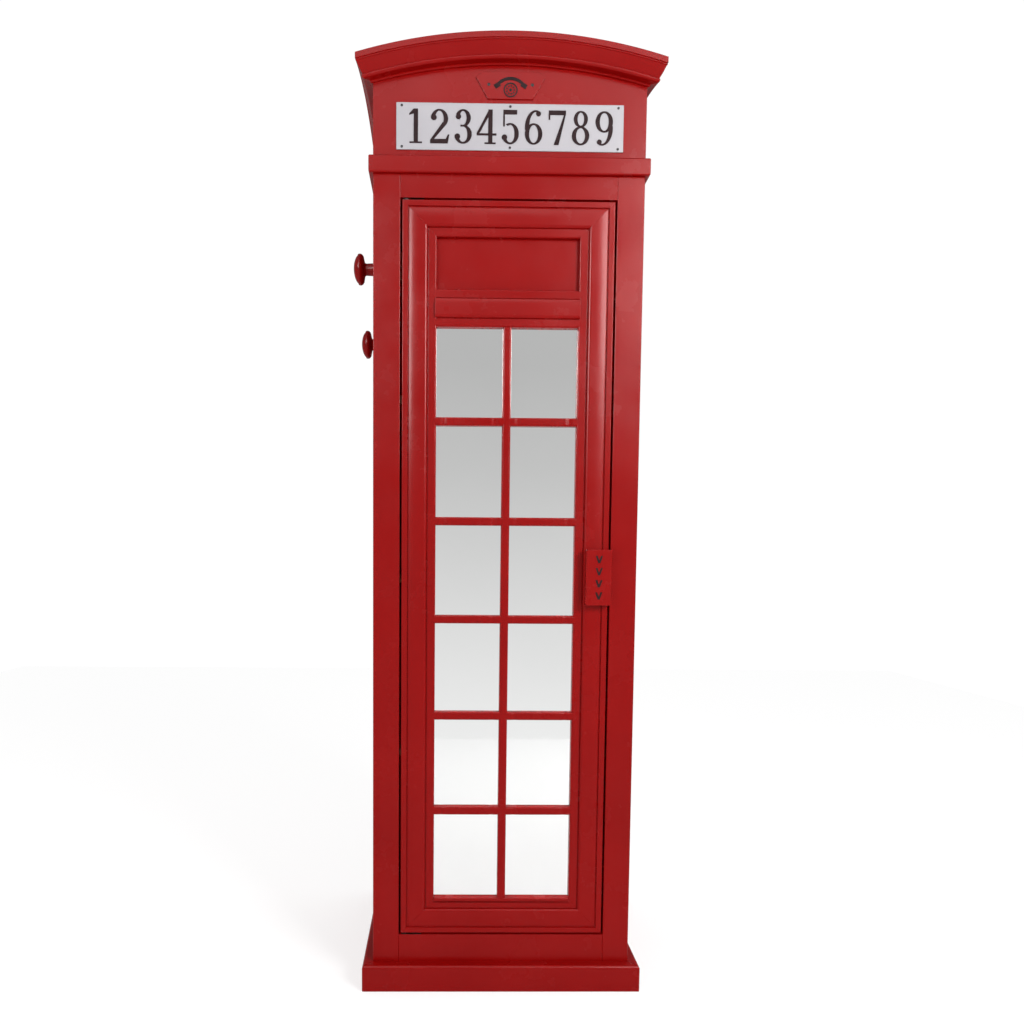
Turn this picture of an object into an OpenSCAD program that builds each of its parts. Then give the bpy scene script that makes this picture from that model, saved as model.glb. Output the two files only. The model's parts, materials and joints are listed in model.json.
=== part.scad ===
// Free-standing cabinet styled as an arched-roof telephone booth.
// Origin: on the floor, under the centre of the cabinet body. +Z up, -Y towards the door, +X to the right.

/* [Body] */
// Width of the cabinet body, over the side panels
body_w = 505; // [440:1:600]
// Depth of the cabinet body, front of the face frame to back
body_d = 450; // [380:1:560]
// Overall height, floor to the top of the front arch
total_h = 1795; // [1700:1:1950]
// Thickness of the side panels, the top and bottom boards and the header panels
panel_t = 18; // [15:1:22]
// Thickness of the back panel
back_t = 6; // [3:1:8]

/* [Plinth] */
// Height of the plinth
plinth_h = 52; // [40:1:80]
// How far the plinth stands out beyond the body
plinth_out = 20; // [10:1:24]
// Radius of the plinth's rounded top edge
plinth_round = 6; // [2:1:8]

/* [Face frame] */
// Width of each stile of the face frame
stile_w = 50.5; // [40:0.5:60]
// Thickness of the face frame and of the door
frame_t = 22; // [20:1:25]
// Height of the floor of the door opening
opening_z0 = 106.5; // [100:0.5:115]
// Height of the top of the door opening
opening_z1 = 1515.5; // [1480:0.5:1520]
// Gap all round between the door and its frame
door_gap = 3; // [2.5:0.1:4]

/* [Band and header] */
// Height of the top of the band round the body
band_z1 = 1588.5; // [1580:0.5:1590]
// Height of the band itself
band_h = 31; // [24:1:34]
// How far the band stands out
band_out = 8; // [5:1:12]

/* [Crown] */
// Radius of the front arch, at its top edge
arch_r = 1000; // [900:10:1100]
// How far the crown moulding stands out from the header
crown_out = 30; // [24:1:32]
// Depth of the crown moulding down the face of the header
crown_h = 44; // [42:1:48]

/* [Sign] */
// Width of the sign plate
sign_w = 419; // [380:1:430]
// Height of the sign plate
sign_h = 83.5; // [75:0.5:86]
// Height of the digits on the sign
digit_h = 61; // [50:1:64]

/* [Door] */
// Width of the door's moulded frame members
rail_w = 65; // [62:0.5:68]
// Height of the bottom of the middle rail
mid_rail_z0 = 1283.5; // [1270:0.5:1290]
// Height of the top of the middle rail
mid_rail_z1 = 1352.5; // [1350:0.5:1360]
// Width of the glazing bars
bar_w = 16; // [12:0.5:18]
// Distance between neighbouring horizontal glazing bars
bar_pitch = 188.5; // [185:0.5:189]
// Depth of the mirror's face behind the door's face
mirror_recess = 14; // [12:0.5:15]
// Distance of the pivot line from the door's edge and from its face
pivot_in = 8; // [8:0.5:9]
// Radius of the pivot pins
pivot_r = 3; // [2.5:0.1:3.5]

/* [Handle and pegs] */
// Width of the pull handle
handle_w = 49; // [40:1:49]
// Height of the pull handle
handle_h = 106; // [90:1:120]
// How far the handle stands out from the door
handle_out = 20; // [15:1:26]
// Height of the middle of the handle
handle_z = 814; // [780:1:830]
// Diameter of a coat peg's head
peg_d = 60; // [50:1:64]
// How far a coat peg stands out
peg_out = 50.5; // [45:0.5:56]

/* [Hidden] */
$fn = 64;
fine = 0.1;
red = [0.62, 0.09, 0.10];
wood = [0.72, 0.60, 0.45];
steel = [0.72, 0.73, 0.75];

front = -body_d / 2;
back = body_d / 2;
half = body_w / 2;
frame_back = front + frame_t;
inner_half = half - panel_t;

opening_half = half - stile_w;
door_half = opening_half - door_gap - 0.5;
door_z0 = opening_z0 + door_gap;
door_z1 = opening_z1 - door_gap;
door_h = door_z1 - door_z0;
door_back = front + frame_t;

// Door frame section, measured across the member from its outer edge and back from the door's face
fillet_w = 11;
quirk_w = 1.5;
quirk_d = 2.5;
cushion_w = 35.5;
cushion_outer = 13;
cushion_inner = 6;
ledge_d = 4.5;
edge_round = 3;
mid_flat = 16;
cushion_u0 = fillet_w + quirk_w;
cushion_u1 = cushion_u0 + cushion_w;
ledge_u0 = cushion_u1 + quirk_w;
rebate_w = 10;
bottom_extra = 4;

glass_half = door_half - rail_w;
glass_z0 = door_z0 + rail_w + bottom_extra;
glass_z1 = mid_rail_z0;
panel_z0 = mid_rail_z1;
panel_z1 = door_z1 - rail_w;
mirror_y = front + mirror_recess;
mirror_t = 3;
backing_t = 2.5;
strip_t = door_back - mirror_y - mirror_t - backing_t;
strip_w = 14;
hold = 8;
bars_mid_z = (glass_z0 + glass_z1) / 2;

pivot_x = -door_half + pivot_in;
pivot_y = front + pivot_in;
bush_r = 4.5;
bush_len = 14;
pin_gap = 0.05;
plate_len = 40;
plate_wide = 14;
plate_t = 2;
screw_r = 1.5;
screw_head_r = 3;
plate_screw_dx = [18, 33];

band_z0 = band_z1 - band_h;

side_half = (body_d + crown_out) / 2;
side_mid_y = (front - crown_out + back) / 2;
arch_half = half + crown_out;
arch_cz = total_h - arch_r;
side_r = side_half * arch_r / arch_half;
corner_z = arch_cz + sqrt(arch_r * arch_r - arch_half * arch_half);
side_cz = corner_z - sqrt(side_r * side_r - side_half * side_half);
header_drop = 3;
roof_drop = 9;
roof_t = 6;
arch_turn = 20;

sign_t = 2;
sign_z = 1642;
sign_pin_r = 1.1;
sign_head_r = 2.4;
sign_head_t = 0.9;
sign_pin_dx = 199.5;
sign_pin_dz = 36.5;
digit_pitch = 43.4;
digit_t = 0.8;

plaque_z = 1691.5;
plaque_t = 2.5;
plaque_screw_dx = 40;
plaque_screw_z = 1717;

peg_x = -half;
pegs = [[front + 135, 1430], [front + 295, 1321]];
peg_stem_r = 12.5;
peg_bolt_r = 3;

shelf_t = 16;
shelf_play = 1;
shelf_front = frame_back + 14;
shelf_zs = [455, 800, 1145];
shelf_pin_r = 2.5;
shelf_pin_ys = [front + 70, back - 50];
shelf_pin_in = 9;
shelf_pin_out = 10;

block_w = 50;
block_h = 44;
foot_hole_r = 4.2;
foot_hole_deep = 28;
plinth_t = plinth_out + panel_t;
foot_x = half + plinth_out - plinth_t - block_w / 2;
foot_y = back - panel_t - block_w / 2;

wall_rail_h = 70;
wall_hole_r = 3;
wall_hole_dx = 150;
wall_rail_z1 = band_z1 - panel_t;
wall_hole_z = wall_rail_z1 - wall_rail_h / 2;

catch_h = 30;
strike_t = 1.5;
catch_x0 = door_half - 15;
catch_z = 730;

handle_x1 = opening_half - 0.5;
handle_screw_x = door_half - 24;
handle_screw_dz = 26;
handle_screw_r = 2;
mark_t = 0.6;
mark_pitch = 23;

// ---- Shared shapes ----

// A board between two corners
module board(low, high) {
    translate(low) cube(high - low);
}

// A round bar along +X, +Y or +Z from a point
module bar_x(p, r, len) { translate(p) rotate([0, 90, 0]) cylinder(r = r, h = len); }
module bar_y(p, r, len) { translate(p) rotate([-90, 0, 0]) cylinder(r = r, h = len); }
module bar_z(p, r, len) { translate(p) cylinder(r = r, h = len); }

// Extrude a section drawn in (Y, Z) along +X, from x0 to x1
module along_x(x0, x1) {
    translate([x0, 0, 0]) rotate([90, 0, 90]) linear_extrude(x1 - x0) children();
}

// Extrude a section drawn in (X, Y) upwards, from z0 to z1
module along_z(z0, z1) {
    translate([0, 0, z0]) linear_extrude(z1 - z0) children();
}

// Left-hand piece turned into a right-hand piece
module to_right() { mirror([1, 0, 0]) children(); }

// Points on an arc
function arc_pts(c, r, a0, a1, n) = [for (i = [0:n]) let (a = a0 + (a1 - a0) * i / n) c + r * [cos(a), sin(a)]];

// ---- Plinth ----

// Section of a plinth board: outer face at u = 0, wood towards +u
module plinth_section() {
    difference() {
        square([plinth_t, plinth_h]);
        translate([-fine, plinth_h - plinth_round]) square([plinth_round + fine, plinth_round + fine]);
    }
    intersection() {
        translate([plinth_round, plinth_h - plinth_round]) circle(plinth_round);
        translate([0, plinth_h - plinth_round]) square([plinth_round + fine, plinth_round]);
    }
}

// Plan of the front board between its two mitres
module front_mitre_plan(out, deep) {
    polygon([[-half - out, front - out], [half + out, front - out],
             [half + out - deep, front - out + deep], [-half - out + deep, front - out + deep]]);
}

// Plan of the left board, mitred at the front and square at the back
module left_mitre_plan(out, deep) {
    polygon([[-half - out, front - out], [-half - out, back],
             [-half - out + deep, back], [-half - out + deep, front - out + deep]]);
}

module plinth_front() {
    color(red) intersection() {
        along_x(-half - plinth_out, half + plinth_out) translate([front - plinth_out, 0]) plinth_section();
        along_z(0, plinth_h) front_mitre_plan(plinth_out, plinth_t);
    }
}

module plinth_left() {
    color(red) intersection() {
        translate([-half - plinth_out, back, 0]) rotate([90, 0, 0]) linear_extrude(body_d + plinth_out) plinth_section();
        along_z(0, plinth_h) left_mitre_plan(plinth_out, plinth_t);
    }
}

module plinth_right() { to_right() plinth_left(); }

module plinth_back() {
    color(red) board([-half - plinth_out + plinth_t, back - panel_t, 0], [half + plinth_out - plinth_t, back, plinth_h]);
}

module plinth_corner_blocks() {
    x0 = foot_x - block_w / 2;
    y_front = -foot_y - block_w / 2;
    color(wood) for (sx = [-1, 1]) for (sy = [-1, 1]) {
        y0 = sy < 0 ? y_front : foot_y - block_w / 2;
        difference() {
            board([sx < 0 ? -x0 - block_w : x0, y0, 0], [sx < 0 ? -x0 : x0 + block_w, y0 + block_w, block_h]);
            bar_z([sx * foot_x, sy * foot_y, -fine], foot_hole_r, foot_hole_deep + fine);
        }
    }
}

// ---- Carcass ----

module bottom_board() {
    color(red) board([-inner_half, frame_back, opening_z0 - panel_t], [inner_half, back - back_t, opening_z0]);
}

module top_board() {
    color(red) board([-inner_half, frame_back, band_z1 - panel_t], [inner_half, back - back_t, band_z1]);
}

// Side panel with the shelf pin holes; the left one also has the two peg bolt holes
module side_panel(with_pegs) {
    difference() {
        board([-half, frame_back, plinth_h], [-inner_half, back, band_z1]);
        for (z = shelf_zs) for (y = shelf_pin_ys)
            bar_x([-inner_half - shelf_pin_in, y, z - shelf_pin_r], shelf_pin_r, shelf_pin_in + fine);
        if (with_pegs) for (p = pegs) bar_x([-half - fine, p[0], p[1]], peg_bolt_r, panel_t + 2 * fine);
    }
}

module left_side_panel() { color(red) side_panel(true); }
module right_side_panel() { color(red) to_right() side_panel(false); }

module back_panel() {
    color(red) difference() {
        board([-inner_half, back - back_t, plinth_h], [inner_half, back, band_z1]);
        for (s = [-1, 1]) bar_y([s * wall_hole_dx, back - back_t - fine, wall_hole_z], wall_hole_r, back_t + 2 * fine);
    }
}

module wall_fixing_rail() {
    y0 = back - back_t - panel_t;
    color(wood) difference() {
        board([-inner_half, y0, wall_rail_z1 - wall_rail_h], [inner_half, back - back_t, wall_rail_z1]);
        for (s = [-1, 1]) bar_y([s * wall_hole_dx, y0 - fine, wall_hole_z], wall_hole_r, panel_t + 2 * fine);
    }
}

// ---- Face frame ----

module stile() {
    chamfer = 0.8;
    along_z(plinth_h, band_z1)
        polygon([[-half + chamfer, front], [-opening_half - chamfer, front], [-opening_half, front + chamfer],
                 [-opening_half, frame_back], [-half, frame_back], [-half, front + chamfer]]);
}

module left_stile() { color(red) stile(); }
module right_stile() { color(red) to_right() stile(); }

// A rail between the stiles, its ends eased so that the joint shows as a fine line
module frame_rail(z0, z1) {
    chamfer = 0.8;
    along_z(z0, z1)
        polygon([[-opening_half + chamfer, front], [opening_half - chamfer, front], [opening_half, front + chamfer],
                 [opening_half, frame_back], [-opening_half, frame_back], [-opening_half, front + chamfer]]);
}

// The bottom pivot plate's recess, its screw holes and the pin's hole; the top one is the same, mirrored
module pivot_recess() {
    translate([pivot_x - plate_wide / 2, pivot_y - plate_wide / 2, opening_z0 - plate_t])
        cube([plate_len, plate_wide, plate_t + fine]);
    bar_z([pivot_x, pivot_y, opening_z0 - 9], pivot_r, 9);
    for (dx = plate_screw_dx) bar_z([pivot_x + dx - plate_wide / 2, pivot_y, opening_z0 - 16], screw_r, 16);
}

module to_top() { translate([0, 0, opening_z0 + opening_z1]) mirror([0, 0, 1]) children(); }

module top_rail() {
    color(red) difference() { frame_rail(opening_z1, band_z1); to_top() pivot_recess(); }
}

module bottom_rail() {
    color(red) difference() { frame_rail(plinth_h, opening_z0); pivot_recess(); }
}

// ---- Pivots ----

module pivot_plate() {
    difference() {
        translate([pivot_x - plate_wide / 2, pivot_y - plate_wide / 2, opening_z0 - plate_t])
            cube([plate_len, plate_wide, plate_t]);
        bar_z([pivot_x, pivot_y, opening_z0 - plate_t - fine], pivot_r, plate_t + 2 * fine);
        for (dx = plate_screw_dx) translate([pivot_x + dx - plate_wide / 2, pivot_y, opening_z0 - plate_t])
            cylinder(r1 = screw_r, r2 = screw_head_r, h = plate_t);
    }
}

module pivot_pin() {
    collar_r = 5.5;
    collar_h = door_gap - 0.3;
    bar_z([pivot_x, pivot_y, opening_z0 - 8], pivot_r, 8 + door_gap + bush_len - 1);
    bar_z([pivot_x, pivot_y, opening_z0], collar_r, collar_h);
}

// Countersunk screw pointing down, its head flush with z = 0
module countersunk_screw(len, head_h) {
    translate([0, 0, -head_h]) cylinder(r1 = screw_r, r2 = screw_head_r, h = head_h);
    translate([0, 0, -len]) cylinder(r = screw_r, h = len - head_h);
}

module pivot_plates() { color(steel) { pivot_plate(); to_top() pivot_plate(); } }
module pivot_pins() { color(steel) { pivot_pin(); to_top() pivot_pin(); } }

module plate_screws() {
    for (dx = plate_screw_dx) translate([pivot_x + dx - plate_wide / 2, pivot_y, opening_z0])
        countersunk_screw(15, plate_t);
}

module pivot_plate_screws() { color(steel) { plate_screws(); to_top() plate_screws(); } }

module pivot_bush() {
    difference() {
        bar_z([pivot_x, pivot_y, door_z0], bush_r, bush_len);
        bar_z([pivot_x, pivot_y, door_z0 - fine], pivot_r + pin_gap, bush_len + 2 * fine);
    }
}

module pivot_bushes() { color("ivory") { pivot_bush(); to_top() pivot_bush(); } }
module bush_hole() { bar_z([pivot_x, pivot_y, door_z0 - fine], bush_r, bush_len + fine); }

// ---- Band ----

// Section of the band: back face at u = 0, front face rounded at both edges
module band_section() {
    r = 3;
    polygon(concat([[0, 0]], arc_pts([band_out - r, r], r, -90, 0, 8),
                   arc_pts([band_out - r, band_h - r], r, 0, 90, 8), [[0, band_h]]));
}

module band_front() {
    color(red) intersection() {
        translate([-half - band_out, front, band_z0]) rotate([90, 0, 90])
            linear_extrude(body_w + 2 * band_out) mirror([1, 0]) band_section();
        along_z(band_z0, band_z1) front_mitre_plan(band_out, band_out);
    }
}

module band_left() {
    color(red) intersection() {
        translate([-half, back, band_z0]) rotate([90, 0, 0])
            linear_extrude(body_d + band_out) mirror([1, 0]) band_section();
        along_z(band_z0, band_z1) left_mitre_plan(band_out, band_out);
    }
}

module band_right() { to_right() band_left(); }

// ---- Header and crown ----

// Solid under the front-to-back barrel of the front arch, dropped by d
module under_front_arch(d) {
    translate([0, front - 100, arch_cz]) rotate([-90, 0, 0]) cylinder(r = arch_r - d, h = body_d + 200, $fn = 240);
}

// Solid under the left-to-right barrel of the side arch, dropped by d
module under_side_arch(d) {
    translate([-half - 100, side_mid_y, side_cz]) rotate([0, 90, 0]) cylinder(r = side_r - d, h = body_w + 200, $fn = 240);
}

module header_front() {
    color(red) difference() {
        intersection() {
            board([-half, front, band_z1], [half, front + panel_t, total_h]);
            under_front_arch(header_drop);
        }
        for (sx = [-1, 0, 1]) for (sz = [-1, 1])
            bar_y([sx * sign_pin_dx, front - fine, sign_z + sz * sign_pin_dz], sign_pin_r, 9 + fine);
        for (s = [-1, 1]) bar_y([s * plaque_screw_dx, front - fine, plaque_screw_z], screw_r, 11 + fine);
    }
}

module header_back() {
    color(red) intersection() {
        board([-half, back - panel_t, band_z1], [half, back, total_h]);
        under_front_arch(header_drop);
    }
}

module header_left() {
    color(red) intersection() {
        board([-half, front + panel_t, band_z1], [-inner_half, back - panel_t, total_h]);
        under_side_arch(header_drop);
    }
}

module header_right() { to_right() header_left(); }

module roof_panel() {
    color(red) difference() {
        intersection() {
            board([-inner_half, front + panel_t, band_z1], [inner_half, back - panel_t, total_h]);
            under_front_arch(roof_drop);
        }
        under_front_arch(roof_drop + roof_t);
    }
}

// Crown section, as [drop below the arch, stand-out]: a fascia, a small bead, a long raking face,
// a torus along the lower lip, a soffit, and a thin strip against the header
fascia_h = 10;
bead_r = 1.6;
bead_drop = 12.2;
bead_out = 27.6;
face_end = 32;
face_end_out = 18.3;
lip_r = 4.2;
lip_drop = 35.8;
lip_out = 14.6;
strip_r = 1.5;
strip_drop = 42.3;
strip_out = 3.1;
face_swell = 0.5;
function crown_face(t) = [bead_drop + bead_r + (face_end - bead_drop - bead_r) * t,
                          bead_out + (face_end_out - bead_out) * t + face_swell * sin(180 * t)];
function crown_section() = concat(
    [[0, 0], [0, crown_out], [fascia_h, crown_out], [fascia_h + 0.4, bead_out + 1]],
    arc_pts([bead_drop, bead_out], bead_r, 140, 30, 4),
    [for (i = [0:5]) crown_face(i / 5)],
    arc_pts([lip_drop, lip_out], lip_r, 135, 0, 6),
    [[lip_drop + lip_r + 0.4, strip_out + strip_r]],
    arc_pts([strip_drop, strip_out], strip_r, 90, 0, 4),
    [[crown_h, 2.6], [crown_h, 0]]);
module crown_arc(r) {
    rotate([0, 0, 90 - arch_turn]) rotate_extrude(angle = 2 * arch_turn, $fn = 240)
        polygon([for (p = crown_section()) [r - p[0], p[1]]]);
}

module crown_front() {
    color(red) intersection() {
        translate([0, front, arch_cz]) rotate([90, 0, 0]) crown_arc(arch_r);
        along_z(band_z1, total_h + 1) front_mitre_plan(crown_out, crown_out);
    }
}

module crown_left() {
    color(red) intersection() {
        translate([-half, side_mid_y, side_cz]) rotate([90, 0, -90]) crown_arc(side_r);
        along_z(band_z1, total_h + 1) left_mitre_plan(crown_out, crown_out);
    }
}

module crown_right() { to_right() crown_left(); }

// ---- Sign ----

module sign_plate() {
    color([0.86, 0.85, 0.86]) difference() {
        board([-sign_w / 2, front - sign_t, sign_z - sign_h / 2], [sign_w / 2, front, sign_z + sign_h / 2]);
        for (sx = [-1, 0, 1]) for (sz = [-1, 1])
            bar_y([sx * sign_pin_dx, front - sign_t - fine, sign_z + sz * sign_pin_dz], sign_pin_r, sign_t + 2 * fine);
    }
}

module sign_pins() {
    color([0.2, 0.2, 0.22]) for (sx = [-1, 0, 1]) for (sz = [-1, 1])
        translate([sx * sign_pin_dx, front - sign_t, sign_z + sz * sign_pin_dz]) rotate([90, 0, 0]) {
            cylinder(r = sign_head_r, h = sign_head_t);
            translate([0, 0, -8]) cylinder(r = sign_pin_r, h = 8);
        }
}

// Digit strokes are drawn in a box one unit high; w is the half width of a bowl
function ellipse_pts(c, rx, ry, a0, a1, n) = [for (i = [0:n]) let (a = a0 + (a1 - a0) * i / n) c + [rx * cos(a), ry * sin(a)]];

// Part of an elliptical ring, thick at the sides and thin at top and bottom
module bowl(c, rx, ry, a0, a1, thick = 0.13, thin = 0.05) {
    polygon(concat(ellipse_pts(c, rx, ry, a0, a1, 20), ellipse_pts(c, rx - thick, ry - thin, a1, a0, 20)));
}

module serif(x0, x1, y) { translate([x0, y]) square([x1 - x0, 0.045]); }
module dot(c, r) { translate(c) circle(r, $fn = 24); }

module digit_1() {
    translate([-0.065, 0]) square([0.13, 1]);
    serif(-0.19, 0.19, 0);
    polygon([[-0.065, 1], [-0.065, 0.86], [-0.2, 0.82], [-0.2, 0.86]]);
}

module digit_2() {
    bowl([0, 0.72], 0.26, 0.28, -42, 165);
    dot([-0.17, 0.76], 0.085);
    polygon([[0.19, 0.533], [0.1, 0.62], [-0.28, 0.1], [-0.28, 0], [-0.18, 0.11]]);
    polygon([[-0.28, 0], [0.25, 0], [0.3, 0.26], [0.255, 0.26], [0.19, 0.13], [-0.18, 0.13]]);
}

module digit_3() {
    bowl([0, 0.75], 0.235, 0.25, -80, 155);
    dot([-0.14, 0.79], 0.08);
    bowl([0, 0.275], 0.265, 0.275, -160, 85);
    dot([-0.17, 0.21], 0.085);
    translate([-0.08, 0.5]) square([0.13, 0.05]);
}

module digit_4() {
    translate([0.05, 0]) square([0.13, 1]);
    serif(-0.06, 0.28, 0);
    translate([-0.3, 0.25]) square([0.6, 0.06]);
    polygon([[-0.3, 0.31], [-0.3, 0.25], [-0.235, 0.27], [0.07, 0.82], [0.07, 1]]);
}

module digit_5() {
    bowl([0, 0.31], 0.265, 0.31, -150, 120);
    dot([-0.17, 0.2], 0.085);
    translate([-0.21, 0.52]) square([0.05, 0.48]);
    translate([-0.21, 0.87]) square([0.42, 0.13]);
}

module digit_6() {
    bowl([0, 0.31], 0.265, 0.31, 0, 180);
    bowl([0, 0.31], 0.265, 0.31, 180, 360);
    bowl([0.06, 0.5], 0.325, 0.5, 75, 188);
    dot([0.14, 0.9], 0.075);
}

module digit_7() {
    translate([-0.26, 0.87]) square([0.52, 0.13]);
    translate([-0.26, 0.73]) square([0.045, 0.2]);
    polygon([[0.26, 0.9], [0.2, 0.87], [-0.1, 0], [0.05, 0]]);
}

module digit_8() {
    for (a = [0, 180]) {
        bowl([0, 0.76], 0.215, 0.24, a, a + 180, 0.115);
        bowl([0, 0.275], 0.265, 0.275, a, a + 180);
    }
}

module digit_9() { translate([0, 1]) rotate(180) digit_6(); }

module place_digit(i) {
    translate([(i - 4) * digit_pitch, front - sign_t, sign_z - digit_h / 2]) rotate([90, 0, 0])
        linear_extrude(digit_t) scale(digit_h) children();
}

module sign_digits() {
    color([0.15, 0.15, 0.17]) {
        place_digit(0) digit_1();
        place_digit(1) digit_2();
        place_digit(2) digit_3();
        place_digit(3) digit_4();
        place_digit(4) digit_5();
        place_digit(5) digit_6();
        place_digit(6) digit_7();
        place_digit(7) digit_8();
        place_digit(8) digit_9();
    }
}

// ---- Plaque ----

module plaque() {
    color(red) difference() {
        translate([0, front, plaque_z]) rotate([90, 0, 0]) linear_extrude(plaque_t)
            polygon([[-41.5, 0], [41.5, 0], [64, 39], [52, 48], [-52, 48], [-64, 39]]);
        for (s = [-1, 1]) translate([s * plaque_screw_dx, front, plaque_screw_z]) rotate([90, 0, 0]) {
            translate([0, 0, -fine]) cylinder(r = screw_r, h = plaque_t + 2 * fine);
            translate([0, 0, plaque_t - 2]) cylinder(r1 = screw_r, r2 = screw_head_r, h = 2);
        }
    }
}

module plaque_screws() {
    color([0.25, 0.22, 0.2]) for (s = [-1, 1])
        translate([s * plaque_screw_dx, front - plaque_t, plaque_screw_z]) rotate([90, 0, 0]) countersunk_screw(13, 2);
}

// A telephone: a handset bowed over a dial with its finger holes as dots
module plaque_emblem() {
    grip_r = 34;
    grip_t = 5.5;
    cup = [11, 8];
    dial_r = 13;
    ring_t = 2.4;
    holes = 9;
    color([0.2, 0.08, 0.08]) translate([0, front - plaque_t, plaque_z]) rotate([90, 0, 0])
        linear_extrude(0.6) {
            polygon(concat(arc_pts([0, 5], grip_r, 42, 138, 28), arc_pts([0, 5], grip_r - grip_t, 138, 42, 28)));
            for (s = [-1, 1]) translate([s * 24.5, 24]) rotate(s * -32) translate(-cup / 2) square(cup);
            translate([0, 16]) difference() { circle(dial_r, $fn = 64); circle(dial_r - ring_t, $fn = 64); }
            translate([0, 16]) for (i = [0:holes - 1]) rotate(360 * i / holes) translate([7, 0]) circle(1.5, $fn = 16);
            translate([0, 16]) circle(2.6, $fn = 24);
        }
}
// ---- Coat pegs ----

// Turned peg along -X: a foot, a waisted stem and a mushroom head
module coat_peg(p) {
    head_r = peg_d / 2;
    head_t = 21;
    stem_len = peg_out - head_t;
    color(red) translate([peg_x, p[0], p[1]]) rotate([0, -90, 0]) rotate_extrude()
        polygon(concat(
            [[peg_bolt_r, 0], [peg_stem_r + 1.5, 0], [peg_stem_r, 4], [peg_stem_r - 1, stem_len - 5]],
            arc_pts([peg_stem_r + 3, stem_len - 5], 4, 180, 90, 4),
            [[head_r - 5, stem_len + 1]],
            arc_pts([head_r - 7, stem_len + 8], 7, -70, 30, 8),
            [for (i = [1:9]) let (a = 9 * i)
                [(head_r - 2) * cos(a * 0.88 + 10.8), stem_len + 11 + (head_t - 11) * sin(a)]],
            [[0, peg_out], [0, peg_out - 16], [peg_bolt_r, peg_out - 16]]));
}

module upper_coat_peg() { coat_peg(pegs[0]); }
module lower_coat_peg() { coat_peg(pegs[1]); }

module peg_bolts() {
    color(steel) for (p = pegs) {
        bar_x([peg_x - (peg_out - 17), p[0], p[1]], peg_bolt_r, peg_out - 17 + panel_t);
        bar_x([-inner_half, p[0], p[1]], 7, 3);
    }
}

// ---- Shelves ----

module shelf(z) {
    color(wood) board([-inner_half + shelf_play, shelf_front, z], [inner_half - shelf_play, back - back_t - 2, z + shelf_t]);
}

module shelf_lower() { shelf(shelf_zs[0]); }
module shelf_middle() { shelf(shelf_zs[1]); }
module shelf_upper() { shelf(shelf_zs[2]); }

module shelf_pins() {
    color(steel) for (s = [-1, 1]) for (z = shelf_zs) for (y = shelf_pin_ys)
        bar_x([s < 0 ? -inner_half - shelf_pin_in : inner_half - shelf_pin_out, y, z - shelf_pin_r],
              shelf_pin_r, shelf_pin_in + shelf_pin_out);
}

// ---- Magnetic catch ----

module catch_housing() {
    nose_y = door_back + strike_t + 0.3;
    color("saddlebrown") difference() {
        union() {
            board([opening_half, door_back, catch_z - catch_h / 2], [opening_half + 26, door_back + 14, catch_z + catch_h / 2]);
            board([catch_x0, nose_y, catch_z - catch_h / 2], [opening_half + 1, door_back + 14, catch_z + catch_h / 2]);
        }
        board([catch_x0 + 3, nose_y - fine, catch_z - 10], [catch_x0 + 13, nose_y + 6, catch_z + 10]);
    }
}

module catch_magnet() {
    nose_y = door_back + strike_t + 0.3;
    color(steel) board([catch_x0 + 3, nose_y, catch_z - 10], [catch_x0 + 13, nose_y + 6, catch_z + 10]);
}

module strike_plate() {
    color(steel) board([catch_x0 + 1, door_back, catch_z - 12], [door_half - 1, door_back + strike_t, catch_z + 12]);
}

// ---- Door ----

// Section of a moulded door member: outer edge at u = 0, door face at v = 0, wood towards -v
function moulding_pts() = concat(
    arc_pts([2, -2], 2, 180, 90, 4),
    [[fillet_w, 0], [fillet_w + 0.2, -quirk_d], [cushion_u0, -quirk_d]],
    [for (i = [1:7]) let (a = 90 * i / 7) [cushion_u0 + cushion_outer * (1 - cos(a)), -quirk_d + quirk_d * sin(a)]],
    [for (i = [0:6]) let (a = 90 * i / 6) [cushion_u1 - cushion_inner * (1 - sin(a)), -ledge_d * (1 - cos(a))]],
    [[cushion_u1, -ledge_d - 1.5], [ledge_u0, -ledge_d - 1.5], [ledge_u0, -ledge_d]]);

module frame_section(w) {
    polygon(concat(moulding_pts(),
        arc_pts([w - edge_round, -ledge_d - edge_round], edge_round, 90, 0, 5),
        [[w, -mirror_recess], [w - rebate_w, -mirror_recess], [w - rebate_w, -frame_t], [0, -frame_t]]));
}

// A length of the frame along X, mitred at both ends: outer edge on z = 0, wood towards +Z, face at y = 0
module mitred_member(len, w) {
    intersection() {
        along_x(-len / 2, len / 2) rotate(90) frame_section(w);
        translate([0, frame_t, 0]) rotate([90, 0, 0]) linear_extrude(frame_t)
            polygon([[-len / 2, 0], [len / 2, 0], [len / 2 - w, w], [-len / 2 + w, w]]);
    }
}

// A member along X at the bottom of the door
module bottom_member() {
    translate([0, front, door_z0]) mitred_member(2 * door_half, rail_w);
}

// A member along Z at the left of the door
module left_member() {
    translate([-door_half, front, (door_z0 + door_z1) / 2]) rotate([0, 90, 0]) mitred_member(door_h, rail_w);
}

module top_member() {
    translate([0, front, door_z1]) mirror([0, 0, 1]) mitred_member(2 * door_half, rail_w);
}

module door_left_stile() {
    color(red) difference() { left_member(); bush_hole(); to_top() bush_hole(); }
}

module door_right_stile() {
    color(red) difference() {
        to_right() left_member();
        for (s = [-1, 1]) {
            bar_y([handle_screw_x, front - fine, handle_z + s * handle_screw_dz], handle_screw_r, frame_t + 2 * fine);
            bar_y([handle_screw_x, door_back - 3, handle_z + s * handle_screw_dz], 4, 3 + fine);
        }
    }
}

module door_top_rail() {
    color(red) difference() { top_member(); to_top() bush_hole(); }
}

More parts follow.
